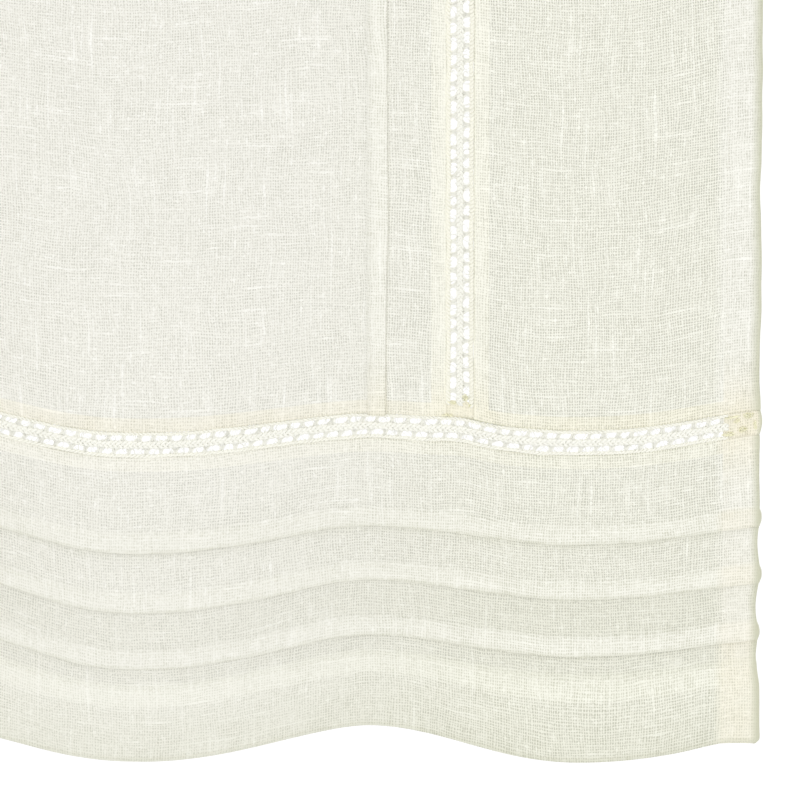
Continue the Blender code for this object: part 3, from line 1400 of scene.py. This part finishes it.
    def _flat(self) -> bpy.types.Mesh:
        """The whole strip, laid out flat.

        Returns:
            Its mesh.
        """
        threads = Threads()
        self._cords(threads)
        self._braid(threads)
        self._bars(threads)
        self._fuzz(threads)
        return threads.mesh(self.name)

    def _uneven(self, flat: Points) -> Points:
        """The strip's points with the unevenness of handwork.

        Args:
            flat: the points of the flat strip.

        Returns:
            The points, moved.
        """
        along, across, out = flat.T
        shift = self.shift * self._waved(self.shift_waves, along)
        width = 1 + self.widened * self._waved(self.width_waves, along)
        return np.stack([along, across * width + shift, out], axis=1)

    def build(self, material: bpy.types.Material) -> bpy.types.Object:
        """Makes the strip and hangs it in its place.

        Args:
            material: the thread's finish.

        Returns:
            The piece.
        """
        mesh = self._flat()
        flat = read_points(mesh)
        from_cord = np.abs(flat[:, 1]) - self.cord_at + 2 * self.cord_radius
        mark(mesh, Layer.WARMTH, self.edge_warmth * np.clip(from_cord / self.cord_radius, 0, 1))
        write_points(mesh, self._hung(self._uneven(flat)))
        return finished(self.name, mesh, material, [self.node])

    def _hung(self, flat: Points) -> Points:
        """The places in space of the strip's points."""
        raise NotImplementedError


@dataclass
class UprightOpenwork(Openwork):
    """The insertion that runs down one side, 1 on the right and -1 on the left."""

    cord_at: float = 3.46 * MM
    cord_radius: float = 0.50 * MM
    braid_width: float = 0.66 * MM
    braid_radius: float = 0.50 * MM
    pitch: float = 5.12 * MM
    side: int = 1
    inwards: float = 0.08 * MM

    def _hung(self, flat: Points) -> Points:
        """The places in space of the points of the upright strip.

        Args:
            flat: the points of the flat strip.

        Returns:
            A row of three coordinates for each point.
        """
        along, across, out = flat.T
        x = self.side * (self.hang.sizes.upright - self.inwards) + across
        return self.hang.place(x, -along, out)


@dataclass
class CrossOpenwork(Openwork):
    """The insertion right across the curtain, which ends inside the side hems."""

    cord_at: float = 3.57 * MM
    cord_radius: float = 0.38 * MM
    braid_width: float = 0.84 * MM
    braid_radius: float = 0.58 * MM
    edge_warmth: float = 0.45

    def _hung(self, flat: Points) -> Points:
        """The places in space of the strip's points."""
        along, across, out = flat.T
        return self.hang.place(along - self.length / 2, self.hang.sizes.cross + across, out)


@dataclass
class Stitching:
    """Small hand stitches along the hems, the tucks and the seams."""

    hang: Hang
    name: str = "seam_stitches"
    pitch: float = 2.2 * MM
    length: float = 0.65 * MM
    radius: float = 0.11 * MM
    inset: float = 1.1 * MM
    from_edge: float = 3 * MM
    cross_tuck_inset: float = 0.6 * MM
    upright_tuck_inset: float = 0.5 * MM
    above_tuck: float = 1.2 * MM
    below_tuck: float = 0.8 * MM
    points: int = 4
    arch: float = 1.6
    sunk: float = 0.8
    uneven: float = 0.16 * MM
    seed: int = 5

    def _lines(self) -> list[tuple[tuple[float, float], tuple[float, float], float]]:
        """The ends of each line of stitches, and how far out it lies.

        Returns:
            For each line its two ends, as places across and heights, and how far out it lies.
        """
        sizes = self.hang.sizes
        on_tuck = 2 * sizes.layer
        side = sizes.right - sizes.side_hem + self.inset
        top, foot = -self.from_edge, self.from_edge - sizes.drop
        end = sizes.right - self.from_edge
        panel, band = sizes.panel_foot + self.inset, sizes.band_top - self.inset
        edges, inset = sizes.cross_tuck_edges(), self.cross_tuck_inset
        across = [(edge + sizes.tuck - inset, on_tuck) for edge in edges]
        across += [(z, 0.0) for z in (self.inset - sizes.top_hem, panel, band)]
        across.append((sizes.bottom_hem - self.inset - sizes.drop, 0.0))
        lines = [((-end, z), (end, z), out) for z, out in across]
        for way in (-1, 1):
            tuck = sizes.right - sizes.tuck_from_side - sizes.tuck + self.upright_tuck_inset
            upright = [(sizes.centre_edge - self.inset, 0.0), (sizes.side_edge + self.inset, 0.0)]
            upright.append((tuck, on_tuck))
            lines += [((way * x, panel), (way * x, top), out) for x, out in upright]
            lines.append(((way * side, panel), (way * side, top), 0.0))
            levels = [sizes.band_top]
            for edge in reversed(edges):
                levels += [edge + sizes.tuck + self.above_tuck, edge - self.below_tuck]
            levels.append(foot)
            for high, low in zip(levels[::2], levels[1::2]):
                lines.append(((way * side, low), (way * side, high), 0.0))
        return lines

    def build(self, material: bpy.types.Material) -> bpy.types.Object:
        """Makes all the stitches as one piece.

        Args:
            material: the thread's finish.

        Returns:
            The piece.
        """
        rng = np.random.default_rng(self.seed)
        threads = Threads()
        share = np.linspace(0, 1, self.points)
        base = self.hang.sizes.cloth / 2
        for start, end, out in self._lines():
            start, end = np.array(start), np.array(end)
            total = np.linalg.norm(end - start)
            way = (end - start) / total
            square = np.array([way[1], -way[0]])
            for first in np.arange(0, total - self.length, self.pitch):
                drawn = rng.uniform(-1, 1, 3) * self.uneven
                along = first + drawn[0] + share * (self.length + 2 * drawn[1])
                flat = start + along[:, None] * way + (drawn[2] * (share - 0.5))[:, None] * square
                lift = out + base + self.radius * (self.arch * np.sin(np.pi * share) - self.sunk)
                threads.add(np.column_stack([flat, lift]), self.radius)
        return threads.lay(self.name, self.hang, material)


class Knot(NamedTuple):
    """A small tangle of thread, in millimetres from the right edge and above the cross insertion."""

    from_right: float
    above: float
    wide: float
    high: float
    turns: float


@dataclass
class ThreadEnds:
    """The tangled thread ends where the insertions meet and in the side hems, the same on both sides."""

    hang: Hang
    name: str = "thread_ends"
    radius: float = 0.13 * MM
    points: int = 48
    base: float = 0.20 * MM
    lift: float = 0.45 * MM
    lift_turns: float = 1.7
    reach: float = 0.5
    swing: float = 0.38
    swing_turns: float = 2.3
    swing_start: float = 1.9
    quiver: float = 0.12
    quiver_turns: float = 5.1
    knots: tuple[Knot, ...] = (
        Knot(88.5, 11.2, 2.1, 2.8, 2.3),
        Knot(92.4, 9.0, 3.0, 1.5, 2.2),
        Knot(87.0, 9.0, 1.0, 2.2, 1.4),
        Knot(93.6, 4.7, 5.6, 0.6, 1.2),
        Knot(3.3, 2.9, 3.6, 2.4, 3.1),
        Knot(5.0, -1.6, 3.2, 1.9, 2.6),
        Knot(9.2, -2.6, 5.0, 1.3, 2.2),
        Knot(8.2, 2.9, 4.8, 0.6, 1.6),
        Knot(6.8, 1.5, 2.2, 1.5, 1.3),
        Knot(1.2, -0.5, 1.2, 3.2, 1.6),
    )

    def build(self, material: bpy.types.Material) -> bpy.types.Object:
        """Makes all the thread ends as one piece.

        Args:
            material: the thread's finish.

        Returns:
            The piece.
        """
        sizes = self.hang.sizes
        threads = Threads()
        share = np.linspace(0, 1, self.points)
        for side in (1, -1):
            for number, knot in enumerate(self.knots):
                turn = 2 * np.pi * knot.turns * share + number
                swing = self.swing * np.sin(self.swing_turns * turn + self.swing_start * number)
                reach = self.reach + swing + self.quiver * np.sin(self.quiver_turns * turn)
                x = sizes.right - MM * (knot.from_right - knot.wide / 2 * reach * np.sin(turn))
                z = sizes.cross + MM * (knot.above + knot.high / 2 * reach * np.cos(turn))
                out = self.base + self.lift * (0.5 + 0.5 * np.sin(self.lift_turns * turn))
                threads.add(np.stack([side * x, z, out], axis=1), self.radius)
        return threads.lay(self.name, self.hang, material)


class Nodes:
    """Adds and links the nodes of one material."""

    def __init__(self, material: bpy.types.Material) -> None:
        """Takes a new material, and keeps its shader node.

        Args:
            material: the material.
        """
        material.use_nodes = True
        self.tree = material.node_tree
        self.shader = self.tree.nodes["Principled BSDF"]

    def add(self, kind: str, **settings: object) -> bpy.types.Node:
        """Adds a node of one kind, with these settings.

        Args:
            kind: the node's type.
            settings: the values of its properties.

        Returns:
            The node.
        """
        node = self.tree.nodes.new(kind)
        for name, value in settings.items():
            setattr(node, name, value)
        return node

    def feed(self, socket: Socket, value: Value) -> None:
        """Links a socket to another, or sets its own value.

        Args:
            socket: the socket to feed.
            value: a socket to link it to, or a number or colour.
        """
        if isinstance(value, Socket):
            self.tree.links.new(value, socket)
        elif isinstance(value, tuple) and len(socket.default_value) > len(value):
            socket.default_value = (*value, 1)
        else:
            socket.default_value = value

    def math(self, operation: str, *values: Value) -> Socket:
        """The result of one sum on these values.

        Args:
            operation: the sum.
            values: what it is done on, in order.

        Returns:
            The result.
        """
        node = self.add("ShaderNodeMath", operation=operation)
        for socket, value in zip(node.inputs, values):
            self.feed(socket, value)
        return node.outputs[0]

    def soft_step(self, value: Value, low: Value, high: Value) -> Socket:
        """0 below low and 1 above high, with a smooth way between.

        Args:
            value: the value to turn into a share.
            low: where the step begins.
            high: where it ends.

        Returns:
            The share.
        """
        node = self.add("ShaderNodeMapRange", interpolation_type="SMOOTHSTEP")
        for socket, given in zip(node.inputs[:3], (value, low, high)):
            self.feed(socket, given)
        return node.outputs["Result"]

    def mix(self, share: Value, first: Value, second: Value, blend: str = "MIX") -> Socket:
        """A colour between two others, or the first blended with the second.

        Args:
            share: how far it goes to the second.
            first: the first colour.
            second: the second colour.
            blend: how the second is laid over the first.

        Returns:
            The colour.
        """
        node = self.add("ShaderNodeMix", data_type="RGBA", blend_type=blend)
        sockets = [s for s in node.inputs if s.type == "RGBA"]
        self.feed(node.inputs[0], share)
        self.feed(sockets[0], first)
        self.feed(sockets[1], second)
        return next(s for s in node.outputs if s.type == "RGBA")

    def vector(self, x: Value, y: Value, z: Value = 0.0) -> Socket:
        """A vector of three values.

        Args:
            x: the first value.
            y: the second.
            z: the third.

        Returns:
            The vector.
        """
        node = self.add("ShaderNodeCombineXYZ")
        for socket, value in zip(node.inputs, (x, y, z)):
            self.feed(socket, value)
        return node.outputs[0]

    def noise(self, place: Socket, scale: float = 1.0, detail: float = 0.0) -> Socket:
        """Soft noise from 0 to 1 at a place.

        Args:
            place: the place.
            scale: how fine the noise is.
            detail: how many finer layers it has.

        Returns:
            The noise.
        """
        node = self.add("ShaderNodeTexNoise")
        self.feed(node.inputs["Vector"], place)
        node.inputs["Scale"].default_value = scale
        node.inputs["Detail"].default_value = detail
        return node.outputs["Fac"]

    def attribute(self, layer: Layer) -> Socket:
        """The value of one of the cloth's marks."""
        return self.add("ShaderNodeAttribute", attribute_name=layer.value).outputs["Fac"]

    def bump(self, height: Socket, distance: float) -> None:
        """Gives the surface a fine relief.

        Args:
            height: the relief, from 0 to 1.
            distance: how deep it is.
        """
        node = self.add("ShaderNodeBump")
        node.inputs["Strength"].default_value = 1.0
        node.inputs["Distance"].default_value = distance
        self.feed(node.inputs["Height"], height)
        self.feed(self.shader.inputs["Normal"], node.outputs["Normal"])


@dataclass(frozen=True)
class Yarns:
    """One set of the weave's threads. Widths are shares of the pitch."""

    pitch: float
    width: float
    spread: float
    seed: float
    softness: float = 0.30
    wander: float = 1.15
    slow: float = 0.09
    quick: float = 0.38
    along: float = 0.22
    drawn_out: float = 0.48
    thickened: float = 0.14
    long_scale: float = 0.04
    number_step: float = 0.73
    noise_seed: float = 9.0
    long_step: float = 0.61
    long_seed: float = 5.0
    rare_from: float = 0.64
    rare_to: float = 0.86
    slub_from: float = 0.58
    slub_to: float = 0.74
    slub_share: float = 0.6

    def build(self, nodes: Nodes, across: Socket, along: Socket) -> tuple[Socket, Socket, Socket]:
        """One set of threads.

        Args:
            nodes: the material's nodes.
            across: the place across the threads, one unit a thread.
            along: the place along them, one unit a crossing thread.

        Returns:
            Where a thread covers the cloth, where it is thick, and its number.
        """
        quick = nodes.math("MULTIPLY", across, self.quick)
        drift = nodes.vector(quick, nodes.math("MULTIPLY", along, self.slow), self.seed)
        drift = nodes.math("SUBTRACT", nodes.noise(drift, 1.0, 1.0), 0.5)
        line = nodes.math("MULTIPLY_ADD", drift, self.wander, across)
        number = nodes.math("FLOOR", line)
        stepped = nodes.math("MULTIPLY", number, self.number_step)
        scaled = nodes.math("MULTIPLY", along, self.along)
        noise = nodes.noise(nodes.vector(stepped, scaled, self.seed + self.noise_seed), 1.0, 2.0)
        stepped = nodes.math("MULTIPLY", number, self.long_step)
        scaled = nodes.math("MULTIPLY", along, self.long_scale)
        long = nodes.noise(nodes.vector(stepped, scaled, self.seed + self.long_seed))
        rare = nodes.soft_step(long, self.rare_from, self.rare_to)
        thick = nodes.math("SUBTRACT", noise, 0.5)
        thick = nodes.math("MULTIPLY_ADD", thick, 2 * self.spread, self.width)
        thick = nodes.math("MULTIPLY_ADD", nodes.math("SUBTRACT", long, 0.5), self.drawn_out, thick)
        thick = nodes.math("MULTIPLY_ADD", rare, self.thickened, thick)
        off = nodes.math("ABSOLUTE", nodes.math("SUBTRACT", nodes.math("FRACT", line), 0.5))
        off = nodes.math("MULTIPLY", off, 2.0)
        low = nodes.math("SUBTRACT", thick, self.softness)
        high = nodes.math("ADD", thick, self.softness)
        cover = nodes.math("SUBTRACT", 1.0, nodes.soft_step(off, low, high))
        slub = nodes.soft_step(noise, self.slub_from, self.slub_to)
        slub = nodes.math("MULTIPLY", slub, self.slub_share)
        slub = nodes.math("MULTIPLY_ADD", rare, self.slub_share, slub)
        slub = nodes.math("MULTIPLY", cover, slub)
        return cover, slub, number


@dataclass(frozen=True)
class LinenFinish:
    """Sheer plain-weave linen with thicker threads here and there."""

    name: str = "linen"
    warp: Yarns = Yarns(0.80 * MM, 0.62, 0.60, 3.0)
    weft: Yarns = Yarns(0.95 * MM, 0.42, 0.60, 71.0)
    thread: Colour = (0.832, 0.822, 0.762)
    slub: Colour = (0.94, 0.933, 0.89)
    light: Colour = (0.93, 0.923, 0.86)
    # Painted shade: the gaps between the threads are coloured darker than the threads, for the shadow
    # between them, darker still where further layers lie behind.
    gap_shade: Colour = (0.66, 0.655, 0.575)
    deep_gap_shade: Colour = (0.52, 0.515, 0.43)
    filled_gap_shade: Colour = (0.71, 0.705, 0.62)
    warm: Colour = (0.845, 0.79, 0.635)
    yellowed: Colour = (0.818, 0.815, 0.720)
    shaded: Colour = (0.55, 0.555, 0.42)
    under_shade: float = 0.25
    see_through: float = 0.34
    patch_scale: float = 0.075
    fibre_scale: float = 1500.0
    fibre: float = 1.2
    bend: float = 3.6 * MM
    bend_scale: float = 34.0
    roughness: float = 0.88
    sheen: float = 0.1
    specular: float = 0.2
    relief: float = 0.01 * MM
    fill_share: float = 0.5
    fill_bend: float = 0.6

    def build(self) -> bpy.types.Material:
        """Makes the material.

        Returns:
            The material, which reads the cloth's map and its marks.
        """
        material = bpy.data.materials.new(self.name)
        nodes = Nodes(material)
        flat = nodes.add("ShaderNodeUVMap", uv_map=CLOTH_MAP).outputs["UV"]
        bare, slub, patch, relief = self._woven(nodes, flat)
        more = nodes.math("SUBTRACT", nodes.attribute(Layer.LAYERS), 1.0)
        fill = nodes.math("MULTIPLY", more, self.fill_share)
        fill = nodes.math("POWER", nodes.math("MINIMUM", fill, 1.0), self.fill_bend)
        colour = self._aged_and_shaded(nodes, self._coloured(nodes, bare, slub, fill), patch)
        nodes.feed(nodes.shader.inputs["Base Color"], colour)
        clear = nodes.math("MULTIPLY", bare, nodes.math("SUBTRACT", 1.0, fill))
        clear = nodes.math("MULTIPLY", clear, self.see_through)
        nodes.feed(nodes.shader.inputs["Alpha"], nodes.math("SUBTRACT", 1.0, clear))
        nodes.shader.inputs["Roughness"].default_value = self.roughness
        nodes.shader.inputs["Sheen Weight"].default_value = self.sheen
        nodes.shader.inputs["Specular IOR Level"].default_value = self.specular
        nodes.bump(relief, self.relief)
        return material

    def _woven(self, nodes: Nodes, flat: Socket) -> tuple[Socket, Socket, Socket, Socket]:
        """The two sets of threads, woven over and under each other.

        Args:
            nodes: the material's nodes.
            flat: the place on the cut cloth.

        Returns:
            How bare the cloth is, where its threads are thick, how open it is in patches, and its relief.
        """
        place = nodes.add("ShaderNodeSeparateXYZ")
        nodes.feed(place.inputs[0], flat)
        warp = self._bent(nodes, place.outputs["X"], flat, self.warp)
        weft = self._bent(nodes, place.outputs["Y"], flat, self.weft)
        warp_cover, warp_slub, warp_number = self.warp.build(nodes, warp, weft)
        weft_cover, weft_slub, weft_number = self.weft.build(nodes, weft, warp)
        over = nodes.math("FLOORED_MODULO", nodes.math("ADD", warp_number, weft_number), 2.0)
        under = nodes.math("SUBTRACT", 1.0, over)
        # Painted shade on each thread where it passes under the other set.
        warp_face = nodes.math("MULTIPLY", warp_cover, self._shaded_under(nodes, under))
        weft_face = nodes.math("MULTIPLY", weft_cover, self._shaded_under(nodes, over))
        past_warp = nodes.math("SUBTRACT", 1.0, warp_face)
        bare = nodes.math("MULTIPLY", past_warp, nodes.math("SUBTRACT", 1.0, weft_face))
        patch = nodes.math("ADD", nodes.noise(nodes.vector(warp, weft), self.patch_scale, 2.0), 0.5)
        openness = nodes.math("MULTIPLY", nodes.attribute(Layer.OPENNESS), patch)
        fibres = nodes.math("SUBTRACT", nodes.noise(flat, self.fibre_scale, 1.0), 0.5)
        bare = nodes.math("MULTIPLY_ADD", bare, openness, nodes.math("MULTIPLY", fibres, self.fibre))
        slub = nodes.math("MAXIMUM", warp_slub, weft_slub)
        return self._clamped(nodes, bare), slub, patch, nodes.math("MAXIMUM", warp_face, weft_face)

    def _coloured(self, nodes: Nodes, bare: Socket, slub: Socket, fill: Socket) -> Socket:
        """The colour of the threads, and the painted shade of the gaps between them.

        Args:
            nodes: the material's nodes.
            bare: how bare the cloth is.
            slub: where its threads are thick.
            fill: how far further layers fill the gaps.

        Returns:
            The colour.
        """
        light = nodes.attribute(Layer.BRIGHTNESS)
        thread = nodes.mix(light, nodes.mix(slub, self.thread, self.slub), self.light)
        # Painted shade in the gaps between the threads.
        gap_shade = nodes.mix(light, nodes.mix(fill, self.gap_shade, self.deep_gap_shade), self.filled_gap_shade)
        return nodes.mix(bare, thread, gap_shade)

    def _aged_and_shaded(self, nodes: Nodes, colour: Socket, patch: Socket) -> Socket:
        """The colour where the cloth has turned peach or yellow, with the painted shade of the shade mark
        over it.

        Args:
            nodes: the material's nodes.
            colour: the colour of new cloth.
            patch: how open the cloth is in patches.

        Returns:
            The colour.
        """
        warmth = nodes.math("MULTIPLY", nodes.attribute(Layer.WARMTH), patch)
        for share, aged in ((warmth, self.warm), (nodes.attribute(Layer.YELLOW), self.yellowed)):
            tinted = nodes.mix(1.0, colour, self._tint(aged), "MULTIPLY")
            colour = nodes.mix(self._clamped(nodes, share), colour, tinted)
        # Painted shade, from the shade mark.
        return nodes.mix(nodes.attribute(Layer.SHADE), colour, self.shaded)

    def _bent(self, nodes: Nodes, place: Socket, flat: Socket, yarns: Yarns) -> Socket:
        """The place across one set of threads, one unit a thread, where they do not run quite straight.

        Args:
            nodes: the material's nodes.
            place: the place across the threads, in metres.
            flat: the place on the cut cloth.
            yarns: the set of threads.

        Returns:
            The place.
        """
        moved = nodes.add("ShaderNodeVectorMath", operation="ADD")
        nodes.feed(moved.inputs[0], flat)
        nodes.feed(moved.inputs[1], (0.0, 0.0, yarns.seed * MM))
        drift = nodes.math("SUBTRACT", nodes.noise(moved.outputs[0], self.bend_scale, 1.0), 0.5)
        bent = nodes.math("MULTIPLY_ADD", drift, self.bend, place)
        return nodes.math("DIVIDE", bent, yarns.pitch)

    def _shaded_under(self, nodes: Nodes, below: Socket) -> Socket:
        """How bright a thread is, with painted shade where it goes below the other."""
        return nodes.math("SUBTRACT", 1.0, nodes.math("MULTIPLY", below, self.under_shade))

    def _clamped(self, nodes: Nodes, value: Socket) -> Socket:
        """A value kept from 0 to 1."""
        return nodes.math("MINIMUM", nodes.math("MAXIMUM", value, 0.0), 1.0)

    def _tint(self, aged: Colour) -> Colour:
        """What the colour is multiplied by where the thread has turned to another colour."""
        return tuple(after / plain for after, plain in zip(aged, self.thread))


@dataclass(frozen=True)
class ThreadFinish:
    """Off-white twisted thread, as used for the openwork and the stitches."""

    name: str
    colour: Colour
    hollow: Colour
    edge: Colour = (0.895, 0.883, 0.775)
    roughness: float = 0.75
    sheen: float = 0.1
    specular: float = 0.25
    grain: float = 1800.0
    patch_grain: float = 60.0
    relief: float = 0.04 * MM

    def build(self) -> bpy.types.Material:
        """Makes the material.

        Returns:
            The material, which reads the piece's own coordinates.
        """
        material = bpy.data.materials.new(self.name)
        nodes = Nodes(material)
        place = nodes.add("ShaderNodeTexCoord").outputs["Object"]
        fibres = nodes.noise(place, self.grain, 2.0)
        patches = nodes.noise(place, self.patch_grain, 1.0)
        share = nodes.math("MULTIPLY", nodes.math("ADD", fibres, patches), 0.5)
        colour = nodes.mix(share, self.hollow, self.colour)
        colour = nodes.mix(nodes.attribute(Layer.WARMTH), colour, self.edge)
        nodes.feed(nodes.shader.inputs["Base Color"], colour)
        nodes.shader.inputs["Roughness"].default_value = self.roughness
        nodes.shader.inputs["Sheen Weight"].default_value = self.sheen
        nodes.shader.inputs["Specular IOR Level"].default_value = self.specular
        nodes.bump(fibres, self.relief)
        return material


@dataclass(frozen=True)
class PhotoCamera:
    """The camera at the photograph's viewing angle, which frames what the photograph shows."""

    pixels: int = 800
    pixel: float = 0.3 * MM
    elevation: float = math.radians(25)
    edge_pixel: float = 760.0
    foot_pixel: float = 746.5
    lens: float = 1000.0
    sensor: float = 36.0

    def build(self, sizes: CurtainSizes) -> None:
        """Adds the camera and makes it the scene's.

        Args:
            sizes: the curtain's sizes.
        """
        middle = self.pixels / 2
        x = sizes.right + (middle - self.edge_pixel) * self.pixel
        z = -sizes.drop + (self.foot_pixel - middle) * self.pixel / math.cos(self.elevation)
        distance = self.pixels * self.pixel * self.lens / self.sensor
        data = bpy.data.cameras.new("camera")
        data.lens = self.lens
        data.sensor_width = self.sensor
        camera = bpy.data.objects.new("camera", data)
        above = distance * math.sin(self.elevation)
        camera.location = (x, -distance * math.cos(self.elevation), z + above)
        camera.rotation_euler = (math.pi / 2 - self.elevation, 0, 0)
        bpy.context.scene.collection.objects.link(camera)
        bpy.context.scene.camera = camera


@dataclass(frozen=True)
class Studio:
    """Plain soft light from all round, a little brighter from the front left, and a pale floor."""

    darkest: float = 1.0
    brightest: float = 1.22
    towards: tuple[float, float, float] = (-0.40, -0.60, 0.69)
    floor_below: float = 0.95
    floor_radius: float = 30.0
    floor_sides: int = 64
    floor_colour: Colour = (0.93, 0.93, 0.93)

    def build(self) -> None:
        """Adds the light and the floor, and sets how the colours show."""
        scene = bpy.context.scene
        scene.view_settings.view_transform = "Standard"
        scene.view_settings.look = "None"
        self._light(scene)
        self._floor(scene)

    def _light(self, scene: bpy.types.Scene) -> None:
        """Adds the light from all round.

        Args:
            scene: the scene to light.
        """
        world = bpy.data.worlds.new("studio")
        world.use_nodes = True
        tree = world.node_tree
        way = tree.nodes.new("ShaderNodeTexCoord")
        facing = tree.nodes.new("ShaderNodeVectorMath")
        facing.operation = "DOT_PRODUCT"
        facing.inputs[1].default_value = self.towards
        strength = tree.nodes.new("ShaderNodeMapRange")
        strength.inputs["From Min"].default_value = -1
        strength.inputs["From Max"].default_value = 1
        strength.inputs["To Min"].default_value = self.darkest
        strength.inputs["To Max"].default_value = self.brightest
        background = tree.nodes["Background"]
        background.inputs["Color"].default_value = (1, 1, 1, 1)
        tree.links.new(way.outputs["Generated"], facing.inputs[0])
        tree.links.new(facing.outputs["Value"], strength.inputs["Value"])
        tree.links.new(strength.outputs["Result"], background.inputs["Strength"])
        scene.world = world

    def _floor(self, scene: bpy.types.Scene) -> None:
        """Adds the floor.

        Args:
            scene: the scene that it stands in.
        """
        bm = bmesh.new()
        bmesh.ops.create_circle(bm, cap_ends=True, segments=self.floor_sides, radius=self.floor_radius)
        bmesh.ops.translate(bm, vec=(0, 0, -self.floor_below), verts=bm.verts)
        mesh = bpy.data.meshes.new("floor")
        bm.to_mesh(mesh)
        bm.free()
        material = bpy.data.materials.new("pale_floor")
        nodes = Nodes(material)
        nodes.feed(nodes.shader.inputs["Base Color"], self.floor_colour)
        nodes.shader.inputs["Roughness"].default_value = 1.0
        nodes.shader.inputs["Specular IOR Level"].default_value = 0.0
        mesh.materials.append(material)
        floor = bpy.data.objects.new("floor", mesh)
        scene.collection.objects.link(floor)


def main() -> None:
    """Builds and dresses the curtain, piece by piece."""
    logging.basicConfig(level=logging.INFO, format="%(name)s: %(message)s")
    sizes = CurtainSizes()
    hang = Hang(sizes)
    PhotoCamera().build(sizes)
    Studio().build()
    linen = LinenFinish().build()
    thread = ThreadFinish("openwork_thread", (0.91, 0.905, 0.835), (0.86, 0.855, 0.785)).build()
    sewing = ThreadFinish("sewing_thread", (0.90, 0.89, 0.81), (0.72, 0.71, 0.62)).build()
    loose = ThreadFinish("loose_thread", (0.985, 0.965, 0.77), (0.85, 0.83, 0.57)).build()

    tailor = Tailor(hang)
    upright = -sizes.panel_foot - tailor.foot_patch + tailor.under_patch
    inside = sizes.width - 2 * sizes.side_hem + tailor.into_hems
    lean = 0.7 * MM
    openwork = [
        UprightOpenwork("right_openwork", "right_insertion", hang, upright, -lean, seed=1, side=1),
        UprightOpenwork("left_openwork", "left_insertion", hang, upright, lean, seed=2, side=-1),
        CrossOpenwork("cross_openwork", "cross_insertion", hang, inside, lean, seed=3),
    ]
    strips = [strip.build(thread) for strip in openwork]
    small = [patch.build(linen) for patch in tailor.patches()]
    small += [Stitching(hang).build(sewing), ThreadEnds(hang).build(loose)]
    for cloth in tailor.cloths():
        piece = cloth.build(linen)
        cloth.flat_size()


if __name__ == "__main__":
    main()
